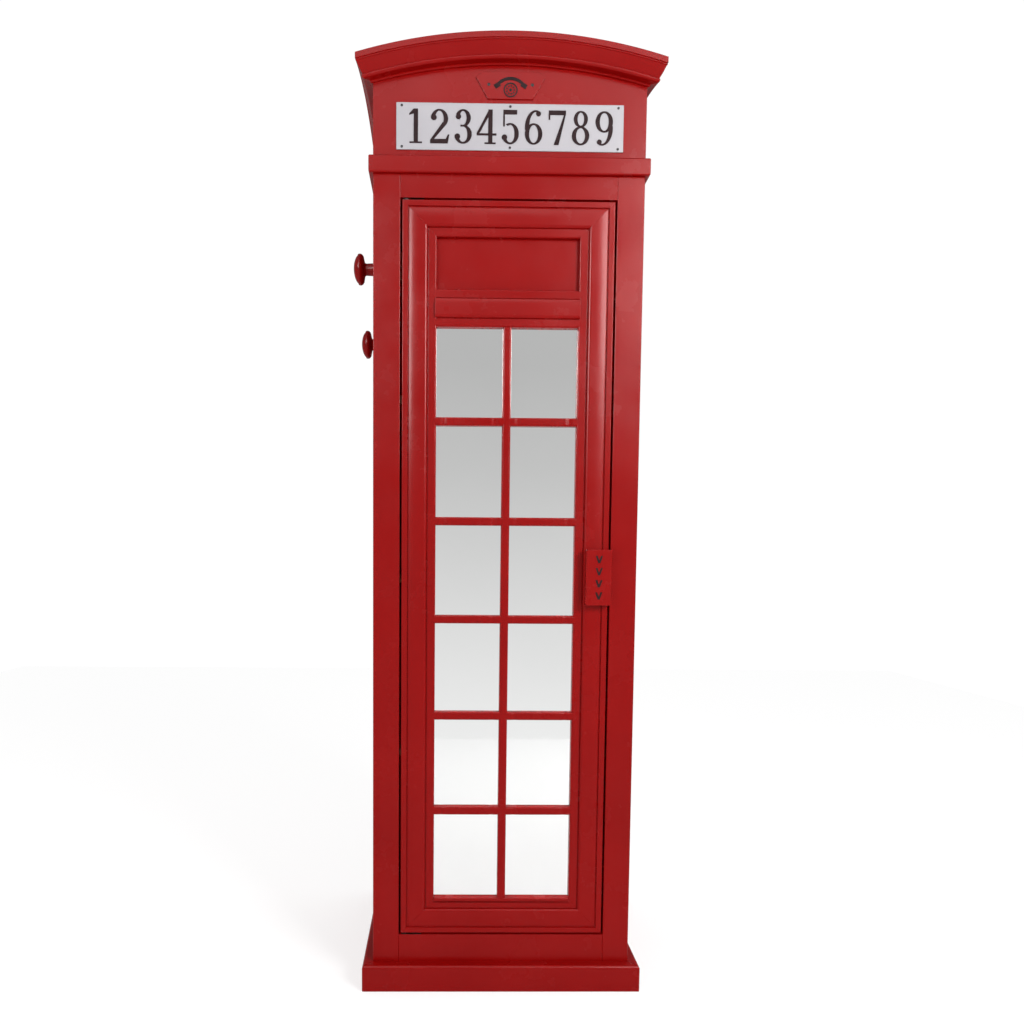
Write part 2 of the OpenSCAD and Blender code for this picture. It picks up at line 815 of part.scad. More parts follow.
module door_bottom_rail() {
    color(red) {
        difference() { bottom_member(); bush_hole(); bottom_ledge_room(); }
        bottom_ledge();
    }
}

// The bottom rail is a little deeper than the other members: a plain ledge above its moulding
module bottom_ledge() {
    z0 = door_z0 + rail_w - 6;
    along_x(-glass_half, glass_half)
        polygon([[front + ledge_d, z0], [front + ledge_d, glass_z0 - 3], [front + ledge_d + 1, glass_z0 - 1],
                 [front + ledge_d + 3, glass_z0], [front + mirror_recess, glass_z0], [front + mirror_recess, z0]]);
}

module bottom_ledge_room() {
    board([-glass_half, front - fine, door_z0 + rail_w - 6], [glass_half, front + mirror_recess, door_z0 + rail_w + fine]);
}

// Both side members of the door frame
module side_members() { left_member(); to_right() left_member(); }

// The middle rail's section runs into the rounded edges of the side members and is scribed over them
module door_middle_rail() {
    h = mid_rail_z1 - mid_rail_z0;
    c1 = h - mid_flat - quirk_w;
    c0 = c1 - cushion_w;
    r = edge_round;
    color(red) {
        difference() {
            along_x(-glass_half - r, glass_half + r) translate([front, mid_rail_z0])
                polygon(concat(
                    [[mirror_recess, 0]],
                    [for (i = [0:5]) let (a = 90 * i / 5) [ledge_d + r - r * sin(a), r - r * cos(a)]],
                    [[ledge_d, c0 - quirk_w], [ledge_d + 1.5, c0 - quirk_w], [ledge_d + 1.5, c0]],
                    [for (i = [0:6]) let (a = 90 * i / 6) [ledge_d * (1 - sin(a)), c0 + cushion_inner * (1 - cos(a))]],
                    [for (i = [0:7]) let (a = 90 * i / 7) [quirk_d * (1 - cos(a)), c1 - cushion_outer * (1 - sin(a))]],
                    [[ledge_d + 1.5, c1], [ledge_d + 1.5, c1 + quirk_w], [ledge_d, c1 + quirk_w]],
                    [for (i = [0:5]) let (a = 90 * i / 5) [ledge_d + r - r * cos(a), h - r + r * sin(a)]],
                    [[mirror_recess, h]]));
            side_members();
        }
        board([-glass_half - rebate_w, front + mirror_recess, mid_rail_z0 + rebate_w],
              [glass_half + rebate_w, door_back, mid_rail_z1 - rebate_w]);
    }
}

module door_panel() {
    color(red) board([-glass_half - hold, mirror_y, panel_z0 - hold],
                     [glass_half + hold, door_back - strip_t, panel_z1 + hold]);
}

// Section of a glazing bar: flat against the mirror at y = 0, rounded nose towards +y
module bar_section() {
    nose = 3.5;
    deep = mirror_recess - ledge_d;
    polygon(concat([[-bar_w / 2, 0]], arc_pts([-bar_w / 2 + nose, deep - nose], nose, 180, 90, 6),
                   arc_pts([bar_w / 2 - nose, deep - nose], nose, 90, 0, 6), [[bar_w / 2, 0]]));
}

module vertical_bar_solid() {
    translate([0, mirror_y, glass_z0]) linear_extrude(glass_z1 - glass_z0) mirror([0, 1]) bar_section();
}

module glazing_bar_vertical() { color(red) vertical_bar_solid(); }

// Each horizontal bar runs from the vertical bar to a side member, scribed over the rounded edges at both ends
module glazing_bars_horizontal() {
    color(red) for (i = [-2:2]) for (s = [0, 1]) mirror([s, 0, 0]) difference() {
        along_x(bar_w / 2 - 3, glass_half + 3)
            translate([mirror_y, bars_mid_z + i * bar_pitch]) rotate(90) bar_section();
        vertical_bar_solid();
        side_members();
    }
}

// Sheet behind the glazing bars, held in the rebate
module mirror_board(y0, t) {
    board([-glass_half - hold, y0, glass_z0 - hold], [glass_half + hold, y0 + t, glass_z1 + hold]);
}

module mirror_glass() { color([0.8, 0.84, 0.86]) mirror_board(mirror_y, mirror_t); }
module mirror_backing() { color(wood) mirror_board(mirror_y + mirror_t, backing_t); }

// Four strips round a rebated opening: the upright ones full height, the level ones between them
module strip_frame(z0, z1) {
    x1 = glass_half + rebate_w;
    for (s = [0, 1]) mirror([s, 0, 0]) board([x1 - strip_w, door_back - strip_t, z0], [x1, door_back, z1]);
    for (z = [z0, z1 - strip_w])
        board([-x1 + strip_w, door_back - strip_t, z], [x1 - strip_w, door_back, z + strip_w]);
}

module retaining_strips() {
    color(wood) {
        strip_frame(door_z0 + rail_w - rebate_w, mid_rail_z0 + rebate_w);
        strip_frame(mid_rail_z1 - rebate_w, panel_z1 + rebate_w);
    }
}

// ---- Handle ----

// One mark on the handle: a V pointing down, its middle at the origin
module chevron() {
    polygon([[-7, 7], [-3, 7], [0, -1.5], [3, 7], [7, 7], [2, -7], [-2, -7]]);
}

module mark_solids(deep) {
    translate([handle_x1 - handle_w / 2, front - handle_out + mark_t, handle_z]) rotate([90, 0, 0])
        for (i = [-1.5:1.5]) translate([0, i * mark_pitch, 0]) linear_extrude(deep) chevron();
}

module door_handle() {
    r = 3;
    x0 = handle_x1 - handle_w;
    color(red) difference() {
        along_z(handle_z - handle_h / 2, handle_z + handle_h / 2)
            polygon(concat([[x0, front]], arc_pts([x0 + r, front - handle_out + r], r, 180, 270, 6),
                           arc_pts([handle_x1 - r, front - handle_out + r], r, 270, 360, 6), [[handle_x1, front]]));
        mark_solids(mark_t + fine);
        for (s = [-1, 1])
            bar_y([handle_screw_x, front - 14, handle_z + s * handle_screw_dz], handle_screw_r, 14 + fine);
    }
}

module handle_marks() { color([0.2, 0.06, 0.06]) mark_solids(mark_t); }

module handle_screws() {
    color(steel) for (s = [-1, 1]) {
        bar_y([handle_screw_x, front - 14, handle_z + s * handle_screw_dz], handle_screw_r, frame_t + 13);
        bar_y([handle_screw_x, door_back - 3, handle_z + s * handle_screw_dz], 4, 3);
    }
}

plinth_front();
plinth_back();
plinth_left();
plinth_right();
plinth_corner_blocks();
bottom_board();
left_side_panel();
right_side_panel();
back_panel();
top_board();
left_stile();
right_stile();
top_rail();
bottom_rail();
band_front();
band_left();
band_right();
header_front();
header_back();
header_left();
header_right();
crown_front();
crown_left();
crown_right();
roof_panel();
wall_fixing_rail();
sign_plate();
sign_digits();
sign_pins();
plaque();
plaque_emblem();
plaque_screws();
upper_coat_peg();
lower_coat_peg();
peg_bolts();
shelf_lower();
shelf_middle();
shelf_upper();
shelf_pins();
catch_housing();
catch_magnet();
pivot_plates();
pivot_pins();
pivot_plate_screws();
door_left_stile();
door_right_stile();
door_top_rail();
door_middle_rail();
door_bottom_rail();
door_panel();
glazing_bar_vertical();
glazing_bars_horizontal();
mirror_glass();
mirror_backing();
retaining_strips();
door_handle();
handle_marks();
handle_screws();
strike_plate();
pivot_bushes();
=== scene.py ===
"""Telephone booth cabinet: the modelled pieces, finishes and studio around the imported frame."""

import json
import logging
import math
from collections.abc import Callable, Iterator, Sequence
from contextlib import contextmanager
from dataclasses import dataclass, replace
from enum import Enum

import bmesh
import bpy
from mathutils import Matrix, Vector


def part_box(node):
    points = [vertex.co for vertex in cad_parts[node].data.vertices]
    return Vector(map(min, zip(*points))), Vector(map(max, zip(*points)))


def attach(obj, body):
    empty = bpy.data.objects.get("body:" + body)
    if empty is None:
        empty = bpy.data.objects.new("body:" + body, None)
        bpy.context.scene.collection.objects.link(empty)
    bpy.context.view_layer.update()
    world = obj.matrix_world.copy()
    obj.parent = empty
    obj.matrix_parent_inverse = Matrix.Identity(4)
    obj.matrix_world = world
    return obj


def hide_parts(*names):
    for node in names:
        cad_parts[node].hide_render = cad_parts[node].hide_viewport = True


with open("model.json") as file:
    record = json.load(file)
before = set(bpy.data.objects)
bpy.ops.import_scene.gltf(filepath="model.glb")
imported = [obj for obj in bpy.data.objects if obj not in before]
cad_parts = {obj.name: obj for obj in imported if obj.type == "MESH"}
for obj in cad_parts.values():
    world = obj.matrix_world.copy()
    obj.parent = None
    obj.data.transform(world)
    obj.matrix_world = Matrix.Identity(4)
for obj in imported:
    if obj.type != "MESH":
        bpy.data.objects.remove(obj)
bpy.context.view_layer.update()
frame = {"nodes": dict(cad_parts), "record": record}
MM = 0.001
TINY = 1e-5
LOG = logging.getLogger("booth")

Point = tuple[float, float]
Vector3 = Sequence[float]


class Body(Enum):
    """The two bodies that pieces ride on."""

    CABINET = "cabinet"
    DOOR = "door"


# ---------------------------------------------------------------- modelling


def deselect_all() -> None:
    """Leave nothing selected and nothing active."""
    for item in list(bpy.context.selected_objects):
        item.select_set(False)
    bpy.context.view_layer.objects.active = None


def ellipse(centre: Point, radii: Point, start: float, end: float, steps: int) -> list[Point]:
    """Points on part of an ellipse.

    Args:
        centre: Its centre.
        radii: Its radius along the first and the second coordinate; a negative one mirrors it.
        start: First angle in degrees.
        end: Last angle in degrees.
        steps: Number of chords.

    Returns:
        The points, both ends included.
    """
    turns = [math.radians(start + (end - start) * index / steps) for index in range(steps + 1)]
    return [(centre[0] + radii[0] * math.cos(turn), centre[1] + radii[1] * math.sin(turn)) for turn in turns]


def arc(centre: Point, radius: float, start: float, end: float, steps: int) -> list[Point]:
    """Points on an arc, as ellipse gives them."""
    return ellipse(centre, (radius, radius), start, end, steps)


class Piece:
    """One mesh being modelled. Its object stays at the origin and its place is in the mesh."""

    def __init__(self, obj: bpy.types.Object) -> None:
        """Take over an object that already is at its size and place."""
        self.obj = obj

    @classmethod
    def _from_active(cls, name: str) -> "Piece":
        """Name the primitive just added and put its place into its mesh."""
        obj = bpy.context.active_object
        bpy.ops.object.transform_apply(location=True, rotation=True, scale=True)
        obj.name = name
        obj.data.name = name
        return cls(obj)

    @classmethod
    def block(cls, name: str, low: Vector3, high: Vector3) -> "Piece":
        """A cube primitive sized to fill the box between two corners."""
        low, high = Vector(low), Vector(high)
        deselect_all()
        bpy.ops.mesh.primitive_cube_add(size=1, location=(low + high) / 2, scale=high - low)
        return cls._from_active(name)

    @classmethod
    def outline(cls, name: str, points: Sequence[Vector3], filled: bool = True) -> "Piece":
        """A flat outline: a circle primitive whose corners are moved onto the given points.

        Args:
            name: The piece's name.
            points: Corners of the outline, in order, in metres.
            filled: Whether the outline is a face or only its edges.

        Returns:
            The piece.
        """
        deselect_all()
        fill = "NGON" if filled else "NOTHING"
        bpy.ops.mesh.primitive_circle_add(vertices=len(points), radius=0.1, fill_type=fill)
        piece = cls._from_active(name)
        for vertex, place in zip(piece.obj.data.vertices, points):
            vertex.co = place
        return piece

    @classmethod
    def member(cls, name: str, section: Sequence[Vector3], run: Vector3) -> "Piece":
        """A straight moulding: a filled section extruded along a vector."""
        piece = cls.outline(name, section)
        with piece.editing():
            piece.pick_all()
            bpy.ops.mesh.extrude_region_move(TRANSFORM_OT_translate={"value": Vector(run)})
        piece.face_outward()
        return piece

    @classmethod
    def swept(cls, name: str, section: Sequence[Vector3], centre: Vector3, axis: Vector3,
              degrees: float, steps: int) -> "Piece":
        """A section spun about an axis, either all the way round or over part of a turn.

        Args:
            name: The piece's name.
            section: Corners of the closed section, in metres.
            centre: A point on the axis.
            axis: The axis direction.
            degrees: How far the section turns.
            steps: Number of steps on the way.

        Returns:
            The piece, closed at its ends.
        """
        piece = cls.outline(name, section, filled=False)
        with piece.editing():
            piece.pick_all()
            bpy.ops.mesh.spin(steps=steps, angle=math.radians(degrees), center=centre, axis=axis)
            piece.pick_all()
            bpy.ops.mesh.remove_doubles(threshold=TINY)
            bpy.ops.mesh.delete_loose()
            if degrees < 360:
                bpy.ops.mesh.select_all(action="DESELECT")
                bpy.ops.mesh.select_non_manifold()
                bpy.ops.mesh.fill_holes(sides=0)
        piece.face_outward()
        return piece

    @classmethod
    def from_node(cls, name: str, node: str) -> "Piece":
        """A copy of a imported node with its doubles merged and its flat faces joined."""
        mesh = frame["nodes"][node].data.copy()
        obj = bpy.data.objects.new(name, mesh)
        mesh.name = name
        bpy.context.scene.collection.objects.link(obj)
        mesh.materials.clear()
        piece = cls(obj)
        with piece.editing():
            piece.pick_all()
            bpy.ops.mesh.customdata_custom_splitnormals_clear()
            bpy.ops.mesh.remove_doubles(threshold=TINY)
            bpy.ops.mesh.dissolve_limited(angle_limit=math.radians(0.5))
        piece.face_outward()
        return piece

    def _activate(self) -> None:
        """Make this piece the only one selected, and the active one."""
        deselect_all()
        self.obj.select_set(True)
        bpy.context.view_layer.objects.active = self.obj

    @contextmanager
    def editing(self) -> Iterator[None]:
        """Edit mode on this piece alone."""
        self._activate()
        bpy.ops.object.mode_set(mode="EDIT")
        yield
        bpy.ops.object.mode_set(mode="OBJECT")

    def pick_all(self) -> None:
        """Select the whole mesh."""
        bpy.ops.mesh.select_all(action="SELECT")

    def pick(self, kind: str, test: Callable[[Vector, Vector], bool]) -> int:
        """Select faces or edges by their place and direction, in edit mode.

        Args:
            kind: FACE or EDGE.
            test: Called with an element's middle and its normal (a face) or direction (an edge).

        Returns:
            The number selected.
        """
        bpy.ops.mesh.select_mode(type=kind)
        bpy.ops.mesh.select_all(action="DESELECT")
        mesh = bmesh.from_edit_mesh(self.obj.data)
        found = 0
        for item in mesh.faces if kind == "FACE" else mesh.edges:
            if kind == "FACE":
                middle, way = item.calc_center_median(), item.normal
            else:
                middle = (item.verts[0].co + item.verts[1].co) / 2
                way = (item.verts[1].co - item.verts[0].co).normalized()
            if test(middle, way):
                item.select_set(True)
                found += 1
        bmesh.update_edit_mesh(self.obj.data)
        return found

    def cut(self, point: Vector3, normal: Vector3) -> None:
        """Cut off what lies on the normal's side of a plane and close the cut."""
        with self.editing():
            self.pick_all()
            bpy.ops.mesh.bisect(plane_co=point, plane_no=normal, use_fill=True, clear_outer=True)
        self.face_outward()

    def face_outward(self) -> None:
        """Turn every face outward."""
        with self.editing():
            self.pick_all()
            bpy.ops.mesh.normals_make_consistent(inside=False)

    def ease(self, width: float, segments: int = 2, angle: float = 32) -> "Piece":
        """Round the sharp edges with an applied bevel.

        Args:
            width: Bevel width in metres.
            segments: Its number of segments.
            angle: Edges sharper than this, in degrees, are rounded.

        Returns:
            This piece.
        """
        bevel = self.obj.modifiers.new("ease", "BEVEL")
        bevel.width = width
        bevel.segments = segments
        bevel.limit_method = "ANGLE"
        bevel.angle_limit = math.radians(angle)
        bevel.harden_normals = False
        self._apply("ease")
        return self

    def carve(self, tool: "Piece") -> None:
        """Cut the shape of another piece out of this one and remove that piece."""
        boolean = self.obj.modifiers.new("carve", "BOOLEAN")
        boolean.object = tool.obj
        boolean.solver = "EXACT"
        self._apply("carve")
        bpy.data.objects.remove(tool.obj)

    def _apply(self, modifier: str) -> None:
        """Apply one modifier."""
        self._activate()
        bpy.ops.object.modifier_apply(modifier=modifier)

    def twin(self, name: str, matrix: Matrix) -> "Piece":
        """A copy with its own mesh, placed by a matrix. A mirrored copy is turned outward again."""
        obj = self.obj.copy()
        obj.data = self.obj.data.copy()
        obj.name = name
        obj.data.name = name
        bpy.context.scene.collection.objects.link(obj)
        obj.data.transform(matrix)
        piece = Piece(obj)
        if matrix.determinant() < 0:
            piece.face_outward()
        return piece

    def grid(self, stem: str, columns: int, rows: int, step: Point) -> list["Piece"]:
        """This piece and its copies in columns along X and rows along Z.

        Args:
            stem: Start of the copies' names; a number from 2 follows it.
            columns: Number of columns.
            rows: Number of rows in each.
            step: Distance from one column to the next, and from one row to the next.

        Returns:
            All of them, this one first.
        """
        pieces = [self]
        for column in range(columns):
            for row in range(rows):
                if column or row:
                    move = Matrix.Translation((column * step[0], 0, row * step[1]))
                    pieces.append(self.twin(f"{stem}_{len(pieces) + 1}", move))
        return pieces

    def join(self, others: Sequence["Piece"]) -> "Piece":
        """Join other pieces into this one."""
        self._activate()
        for other in others:
            other.obj.select_set(True)
        bpy.ops.object.join()
        return self

    def hand_over(self, body: Body, finish: "Finish", nodes: Sequence[str] = (),
                  smooth: float = 38) -> "Piece":
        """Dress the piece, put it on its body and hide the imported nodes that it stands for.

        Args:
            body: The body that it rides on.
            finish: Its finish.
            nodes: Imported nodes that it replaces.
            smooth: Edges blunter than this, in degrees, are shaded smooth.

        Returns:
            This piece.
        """
        self._activate()
        bpy.ops.object.shade_smooth_by_angle(angle=math.radians(smooth))
        even = self.obj.modifiers.new("even", "WEIGHTED_NORMAL")
        even.keep_sharp = True
        even.weight = 100
        self._apply("even")
        self.obj.data.materials.clear()
        self.obj.data.materials.append(finish.material())
        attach(self.obj, body.value)
        if nodes:
            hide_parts(*nodes)
        LOG.info("%s: %d faces on %s", self.obj.name, len(self.obj.data.polygons), body.value)
        return self


MIRROR_X = Matrix.Scale(-1, 4, (1, 0, 0))


# ---------------------------------------------------------------- finishes


class Graph:
    """A small wrapper that builds a node tree."""

    def __init__(self, tree: bpy.types.NodeTree) -> None:
        """Start from an empty tree."""
        self.tree = tree
        tree.nodes.clear()

    def add(self, kind: str, inputs: dict | None = None, **settings: object) -> bpy.types.Node:
        """Add a node.

        Args:
            kind: Its type, without the ShaderNode prefix.
            inputs: For each input socket, a value, or an output socket to link.
            settings: Properties of the node itself.

        Returns:
            The node.
        """
        node = self.tree.nodes.new("ShaderNode" + kind)
        for key, value in settings.items():
            setattr(node, key, value)
        for key, value in (inputs or {}).items():
            if isinstance(value, bpy.types.NodeSocket):
                self.tree.links.new(value, node.inputs[key])
            else:
                node.inputs[key].default_value = value
        return node

    def mix(self, factor: bpy.types.NodeSocket, first: object, second: object) -> bpy.types.NodeSocket:
        """Mix two colours, each given as a colour or as a socket, and return the result's socket."""
        ends = [end if isinstance(end, bpy.types.NodeSocket) else (*end, 1.0) for end in (first, second)]
        return self.add("Mix", {0: factor, 6: ends[0], 7: ends[1]}, data_type="RGBA").outputs[2]


def node_group(name: str, inputs: dict[str, float], outputs: Sequence[str],
               fill: Callable[[Graph, bpy.types.Node], dict]) -> bpy.types.NodeTree:
    """A shader node group, made once.

    Args:
        name: Its name.
        inputs: Float inputs and their defaults.
        outputs: Names of its float outputs.
        fill: Builds the inside and returns the socket for each output.

    Returns:
        The group.
    """
    if name in bpy.data.node_groups:
        return bpy.data.node_groups[name]
    tree = bpy.data.node_groups.new(name, "ShaderNodeTree")
    for key, value in inputs.items():
        socket = tree.interface.new_socket(key, in_out="INPUT", socket_type="NodeSocketFloat")
        socket.default_value = value
    for key in outputs:
        tree.interface.new_socket(key, in_out="OUTPUT", socket_type="NodeSocketFloat")
    graph = Graph(tree)
    entry = tree.nodes.new("NodeGroupInput")
    leave = tree.nodes.new("NodeGroupOutput")
    for key, socket in fill(graph, entry).items():
        tree.links.new(socket, leave.inputs[key])
    return tree


def mottle_group() -> bpy.types.NodeTree:
    """Soft irregular patches: a value between Low and High."""

    def fill(graph: Graph, entry: bpy.types.Node) -> dict:
        """Noise in object space, spread over the range."""
        place = graph.add("TexCoord")
        noise = graph.add("TexNoise", {"Vector": place.outputs["Object"], "Detail": 5.0,
                                       "Scale": entry.outputs["Scale"], "Roughness": 0.6})
        spread = graph.add("MapRange", {"Value": noise.outputs["Fac"], "From Min": 0.3, "From Max": 0.7,
                                        "To Min": entry.outputs["Low"], "To Max": entry.outputs["High"]})
        return {"Value": spread.outputs["Result"]}

    return node_group("soft_mottle", {"Scale": 5.0, "Low": 0.0, "High": 1.0}, ["Value"], fill)


def skin_group() -> bpy.types.NodeTree:
    """The surface of rolled paint: slow waves plus a fine stipple, as a height."""

    def fill(graph: Graph, entry: bpy.types.Node) -> dict:
        """Two noises added by their shares."""
        place = graph.add("TexCoord")
        slow = graph.add("TexNoise", {"Vector": place.outputs["Object"], "Scale": entry.outputs["Slow"],
                                      "Detail": 2.0})
        fine = graph.add("TexNoise", {"Vector": place.outputs["Object"], "Scale": entry.outputs["Fine"],
                                      "Detail": 3.0, "Roughness": 0.55})
        share = graph.add("Math", {0: fine.outputs["Fac"], 1: entry.outputs["Share"]}, operation="MULTIPLY")
        total = graph.add("Math", {0: slow.outputs["Fac"], 1: share.outputs[0]}, operation="ADD")
        return {"Height": total.outputs[0]}

    return node_group("rolled_skin", {"Slow": 9.0, "Fine": 420.0, "Share": 0.05}, ["Height"], fill)


def speck_group() -> bpy.types.NodeTree:
    """Rare small nicks: a mask that is 1 inside each nick."""

    def fill(graph: Graph, entry: bpy.types.Node) -> dict:
        """Cells cut to a small ragged size, most of them left out."""
        place = graph.add("TexCoord")
        bend = graph.add("TexNoise", {"Vector": place.outputs["Object"], "Scale": 300.0})
        moved = graph.add("VectorMath", {0: bend.outputs["Color"], 3: 0.003}, operation="SCALE")
        spot = graph.add("VectorMath", {0: place.outputs["Object"], 1: moved.outputs[0]}, operation="ADD")
        cells = graph.add("TexVoronoi", {"Vector": spot.outputs[0], "Scale": entry.outputs["Scale"]})
        near = graph.add("Math", {0: cells.outputs["Distance"], 1: entry.outputs["Size"]},
                         operation="LESS_THAN")
        parts = graph.add("SeparateColor", {"Color": cells.outputs["Color"]})
        rare = graph.add("Math", {0: parts.outputs[0], 1: entry.outputs["Share"]}, operation="LESS_THAN")
        both = graph.add("Math", {0: near.outputs[0], 1: rare.outputs[0]}, operation="MULTIPLY")
        return {"Mask": both.outputs[0]}

    return node_group("small_nicks", {"Scale": 14.0, "Size": 0.03, "Share": 0.05}, ["Mask"], fill)


def grain_group() -> bpy.types.NodeTree:
    """Long wood fibres, level or upright: a value from 0 to 1."""

    def fill(graph: Graph, entry: bpy.types.Node) -> dict:
        """Noise stretched along the fibres, with a finer set on top."""
        place = graph.add("TexCoord")
        parts = graph.add("SeparateXYZ", {"Vector": place.outputs["Object"]})
        turned = graph.add("CombineXYZ", {"X": parts.outputs["Z"], "Y": parts.outputs["Y"],
                                          "Z": parts.outputs["X"]})
        way = graph.add("Mix", {0: entry.outputs["Upright"], 4: place.outputs["Object"],
                                5: turned.outputs["Vector"]}, data_type="VECTOR")
        coarse = graph.add("Mapping", {"Vector": way.outputs[1], "Scale": (1.5, 14.0, 14.0)})
        fine = graph.add("Mapping", {"Vector": way.outputs[1], "Scale": (8.0, 160.0, 160.0)})
        rings = graph.add("TexNoise", {"Vector": coarse.outputs[0], "Scale": entry.outputs["Scale"],
                                       "Detail": 4.0, "Distortion": 0.6})
        fibres = graph.add("TexNoise", {"Vector": fine.outputs[0], "Scale": entry.outputs["Scale"],
                                        "Detail": 3.0})
        total = graph.add("Math", {0: rings.outputs["Fac"], 1: fibres.outputs["Fac"]}, operation="ADD")
        half = graph.add("Math", {0: total.outputs[0], 1: 0.5}, operation="MULTIPLY")
        return {"Value": half.outputs[0]}

    return node_group("wood_grain", {"Scale": 2.0, "Upright": 0.0}, ["Value"], fill)


@dataclass(frozen=True)
class Finish:
    """A painted, moulded or metal surface with patchy colour, uneven gloss and a fine skin.

    Attributes:
        slot: The record's material slot.
        dark: Colour in the darker patches, linear.
        light: Colour in the lighter patches, linear.
        rough: Roughness from the shiniest to the dullest patch.
        metallic: Share of metal.
        specular: Strength of the surface reflection.
        patch: How many patches to a metre.
        slow: Waves of the skin to a metre.
        fine: Stipple of the skin to a metre.
        share: Height of the stipple against the waves.
        depth: Height of the skin in metres.
        nick: Colour inside the rare nicks, linear.
        nick_share: Share of cells that hold a nick.
        suffix: End of the material's name, where a slot has more than one finish.
    """

    slot: str
    dark: tuple[float, float, float]
    light: tuple[float, float, float]
    rough: tuple[float, float] = (0.3, 0.4)
    metallic: float = 0.0
    specular: float = 0.5
    patch: float = 5.0
    slow: float = 9.0
    fine: float = 420.0
    share: float = 0.05
    depth: float = 0.0004
    nick: tuple[float, float, float] = (0.3, 0.3, 0.3)
    nick_share: float = 0.0
    suffix: str = ""

    def colour(self, graph: Graph) -> bpy.types.NodeSocket:
        """Builds the base colour and returns its socket."""
        patches = graph.add("Group", {"Scale": self.patch}, node_tree=mottle_group())
        blend = graph.mix(patches.outputs["Value"], self.dark, self.light)
        if not self.nick_share:
            return blend
        nicks = graph.add("Group", {"Share": self.nick_share}, node_tree=speck_group())
        return graph.mix(nicks.outputs["Mask"], blend, self.nick)

    def height(self, graph: Graph) -> bpy.types.NodeSocket:
        """Builds the skin's height and returns its socket."""
        values = {"Slow": self.slow, "Fine": self.fine, "Share": self.share}
        return graph.add("Group", values, node_tree=skin_group()).outputs["Height"]

    def material(self) -> bpy.types.Material:
        """The material, made once."""
        name = "booth_" + self.slot + self.suffix
        if name in bpy.data.materials:
            return bpy.data.materials[name]
        material = bpy.data.materials.new(name)
        material.use_nodes = True
        graph = Graph(material.node_tree)
        values = {"Scale": self.patch * 3, "Low": self.rough[0], "High": self.rough[1]}
        gloss = graph.add("Group", values, node_tree=mottle_group())
        bump = graph.add("Bump", {"Height": self.height(graph), "Distance": self.depth, "Strength": 1.0})
        shader = graph.add("BsdfPrincipled", {
            "Base Color": self.colour(graph), "Roughness": gloss.outputs["Value"],
            "Metallic": self.metallic, "Specular IOR Level": self.specular, "Normal": bump.outputs["Normal"]})
        graph.add("OutputMaterial", {"Surface": shader.outputs[0]})
        return material


@dataclass(frozen=True)
class WoodFinish(Finish):
    """Bare board with long fibres in place of the patches.

    Attributes:
        upright: 0 for level fibres, 1 for upright ones.
    """

    upright: float = 0.0

    def grain(self, graph: Graph) -> bpy.types.NodeSocket:
        """Places the fibres and returns their value."""
        return graph.add("Group", {"Upright": self.upright}, node_tree=grain_group()).outputs["Value"]

    def colour(self, graph: Graph) -> bpy.types.NodeSocket:
        """Fibres between the two colours."""
        return graph.mix(self.grain(graph), self.dark, self.light)

    def height(self, graph: Graph) -> bpy.types.NodeSocket:
        """The fibres again, as a height."""
        return self.grain(graph)


RED = Finish("red_paint", dark=(0.212, 0.0012, 0.0011), light=(0.245, 0.0024, 0.0021), rough=(0.20, 0.30),
             specular=0.115, patch=4.0, slow=7.0, fine=380.0, share=0.035, depth=0.0011,
             nick=(0.16, 0.006, 0.006), nick_share=0.03)
MIRROR = Finish("mirror", dark=(0.90, 0.905, 0.90), light=(0.93, 0.935, 0.93), rough=(0.02, 0.05),
                metallic=1.0, patch=3.0, slow=2.5, fine=60.0, share=0.01, depth=0.0002)
ENAMEL = Finish("sign_enamel", dark=(0.365, 0.350, 0.372), light=(0.388, 0.372, 0.394), rough=(0.3, 0.42),
                specular=0.2, patch=8.0, depth=0.0002)
PRINT = Finish("dark_print", dark=(0.015, 0.007, 0.008), light=(0.026, 0.013, 0.014), rough=(0.4, 0.5),
               specular=0.04, patch=60.0, fine=900.0, depth=0.0001)
STEEL = Finish("steel", dark=(0.22, 0.22, 0.225), light=(0.4, 0.4, 0.41), rough=(0.25, 0.42), metallic=1.0,
               patch=60.0, fine=1500.0, share=0.2, depth=0.0001)
IRON = Finish("dark_metal", dark=(0.008, 0.007, 0.008), light=(0.022, 0.02, 0.02), rough=(0.35, 0.5),
              metallic=0.2, specular=0.2, patch=120.0, fine=1500.0, share=0.2, depth=0.0001)
PLASTIC = Finish("brown_plastic", dark=(0.10, 0.045, 0.02), light=(0.14, 0.065, 0.03), rough=(0.4, 0.5),
                 patch=30.0, fine=1200.0, share=0.15, depth=0.0001)
WOOD = WoodFinish("bare_wood", dark=(0.36, 0.22, 0.11), light=(0.56, 0.40, 0.24), rough=(0.55, 0.7),
                  patch=8.0, depth=0.0003)
WOOD_UPRIGHT = replace(WOOD, suffix="_upright", upright=1.0)
FINISHES = {finish.slot: finish for finish in (RED, MIRROR, ENAMEL, PRINT, STEEL, IRON, PLASTIC, WOOD)}


# ---------------------------------------------------------------- sub-assemblies


@dataclass
class Boards:
    """Plain boards and blocks, each with its edges sanded.

    Attributes:
        names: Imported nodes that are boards.
        edge: Radius of the sanded edge.
        finish: Their finish.
        body: The body that they ride on.
    """

    names: tuple[str, ...]
    edge: float = 0.9 * MM
    finish: Finish = RED
    body: Body = Body.CABINET

    def build(self) -> None:
        """Model one board for each node and hand it over."""
        for node in self.names:
            board = Piece.from_node(node + "_board", node)
            board.ease(self.edge)
            board.hand_over(self.body, self.finish, [node])


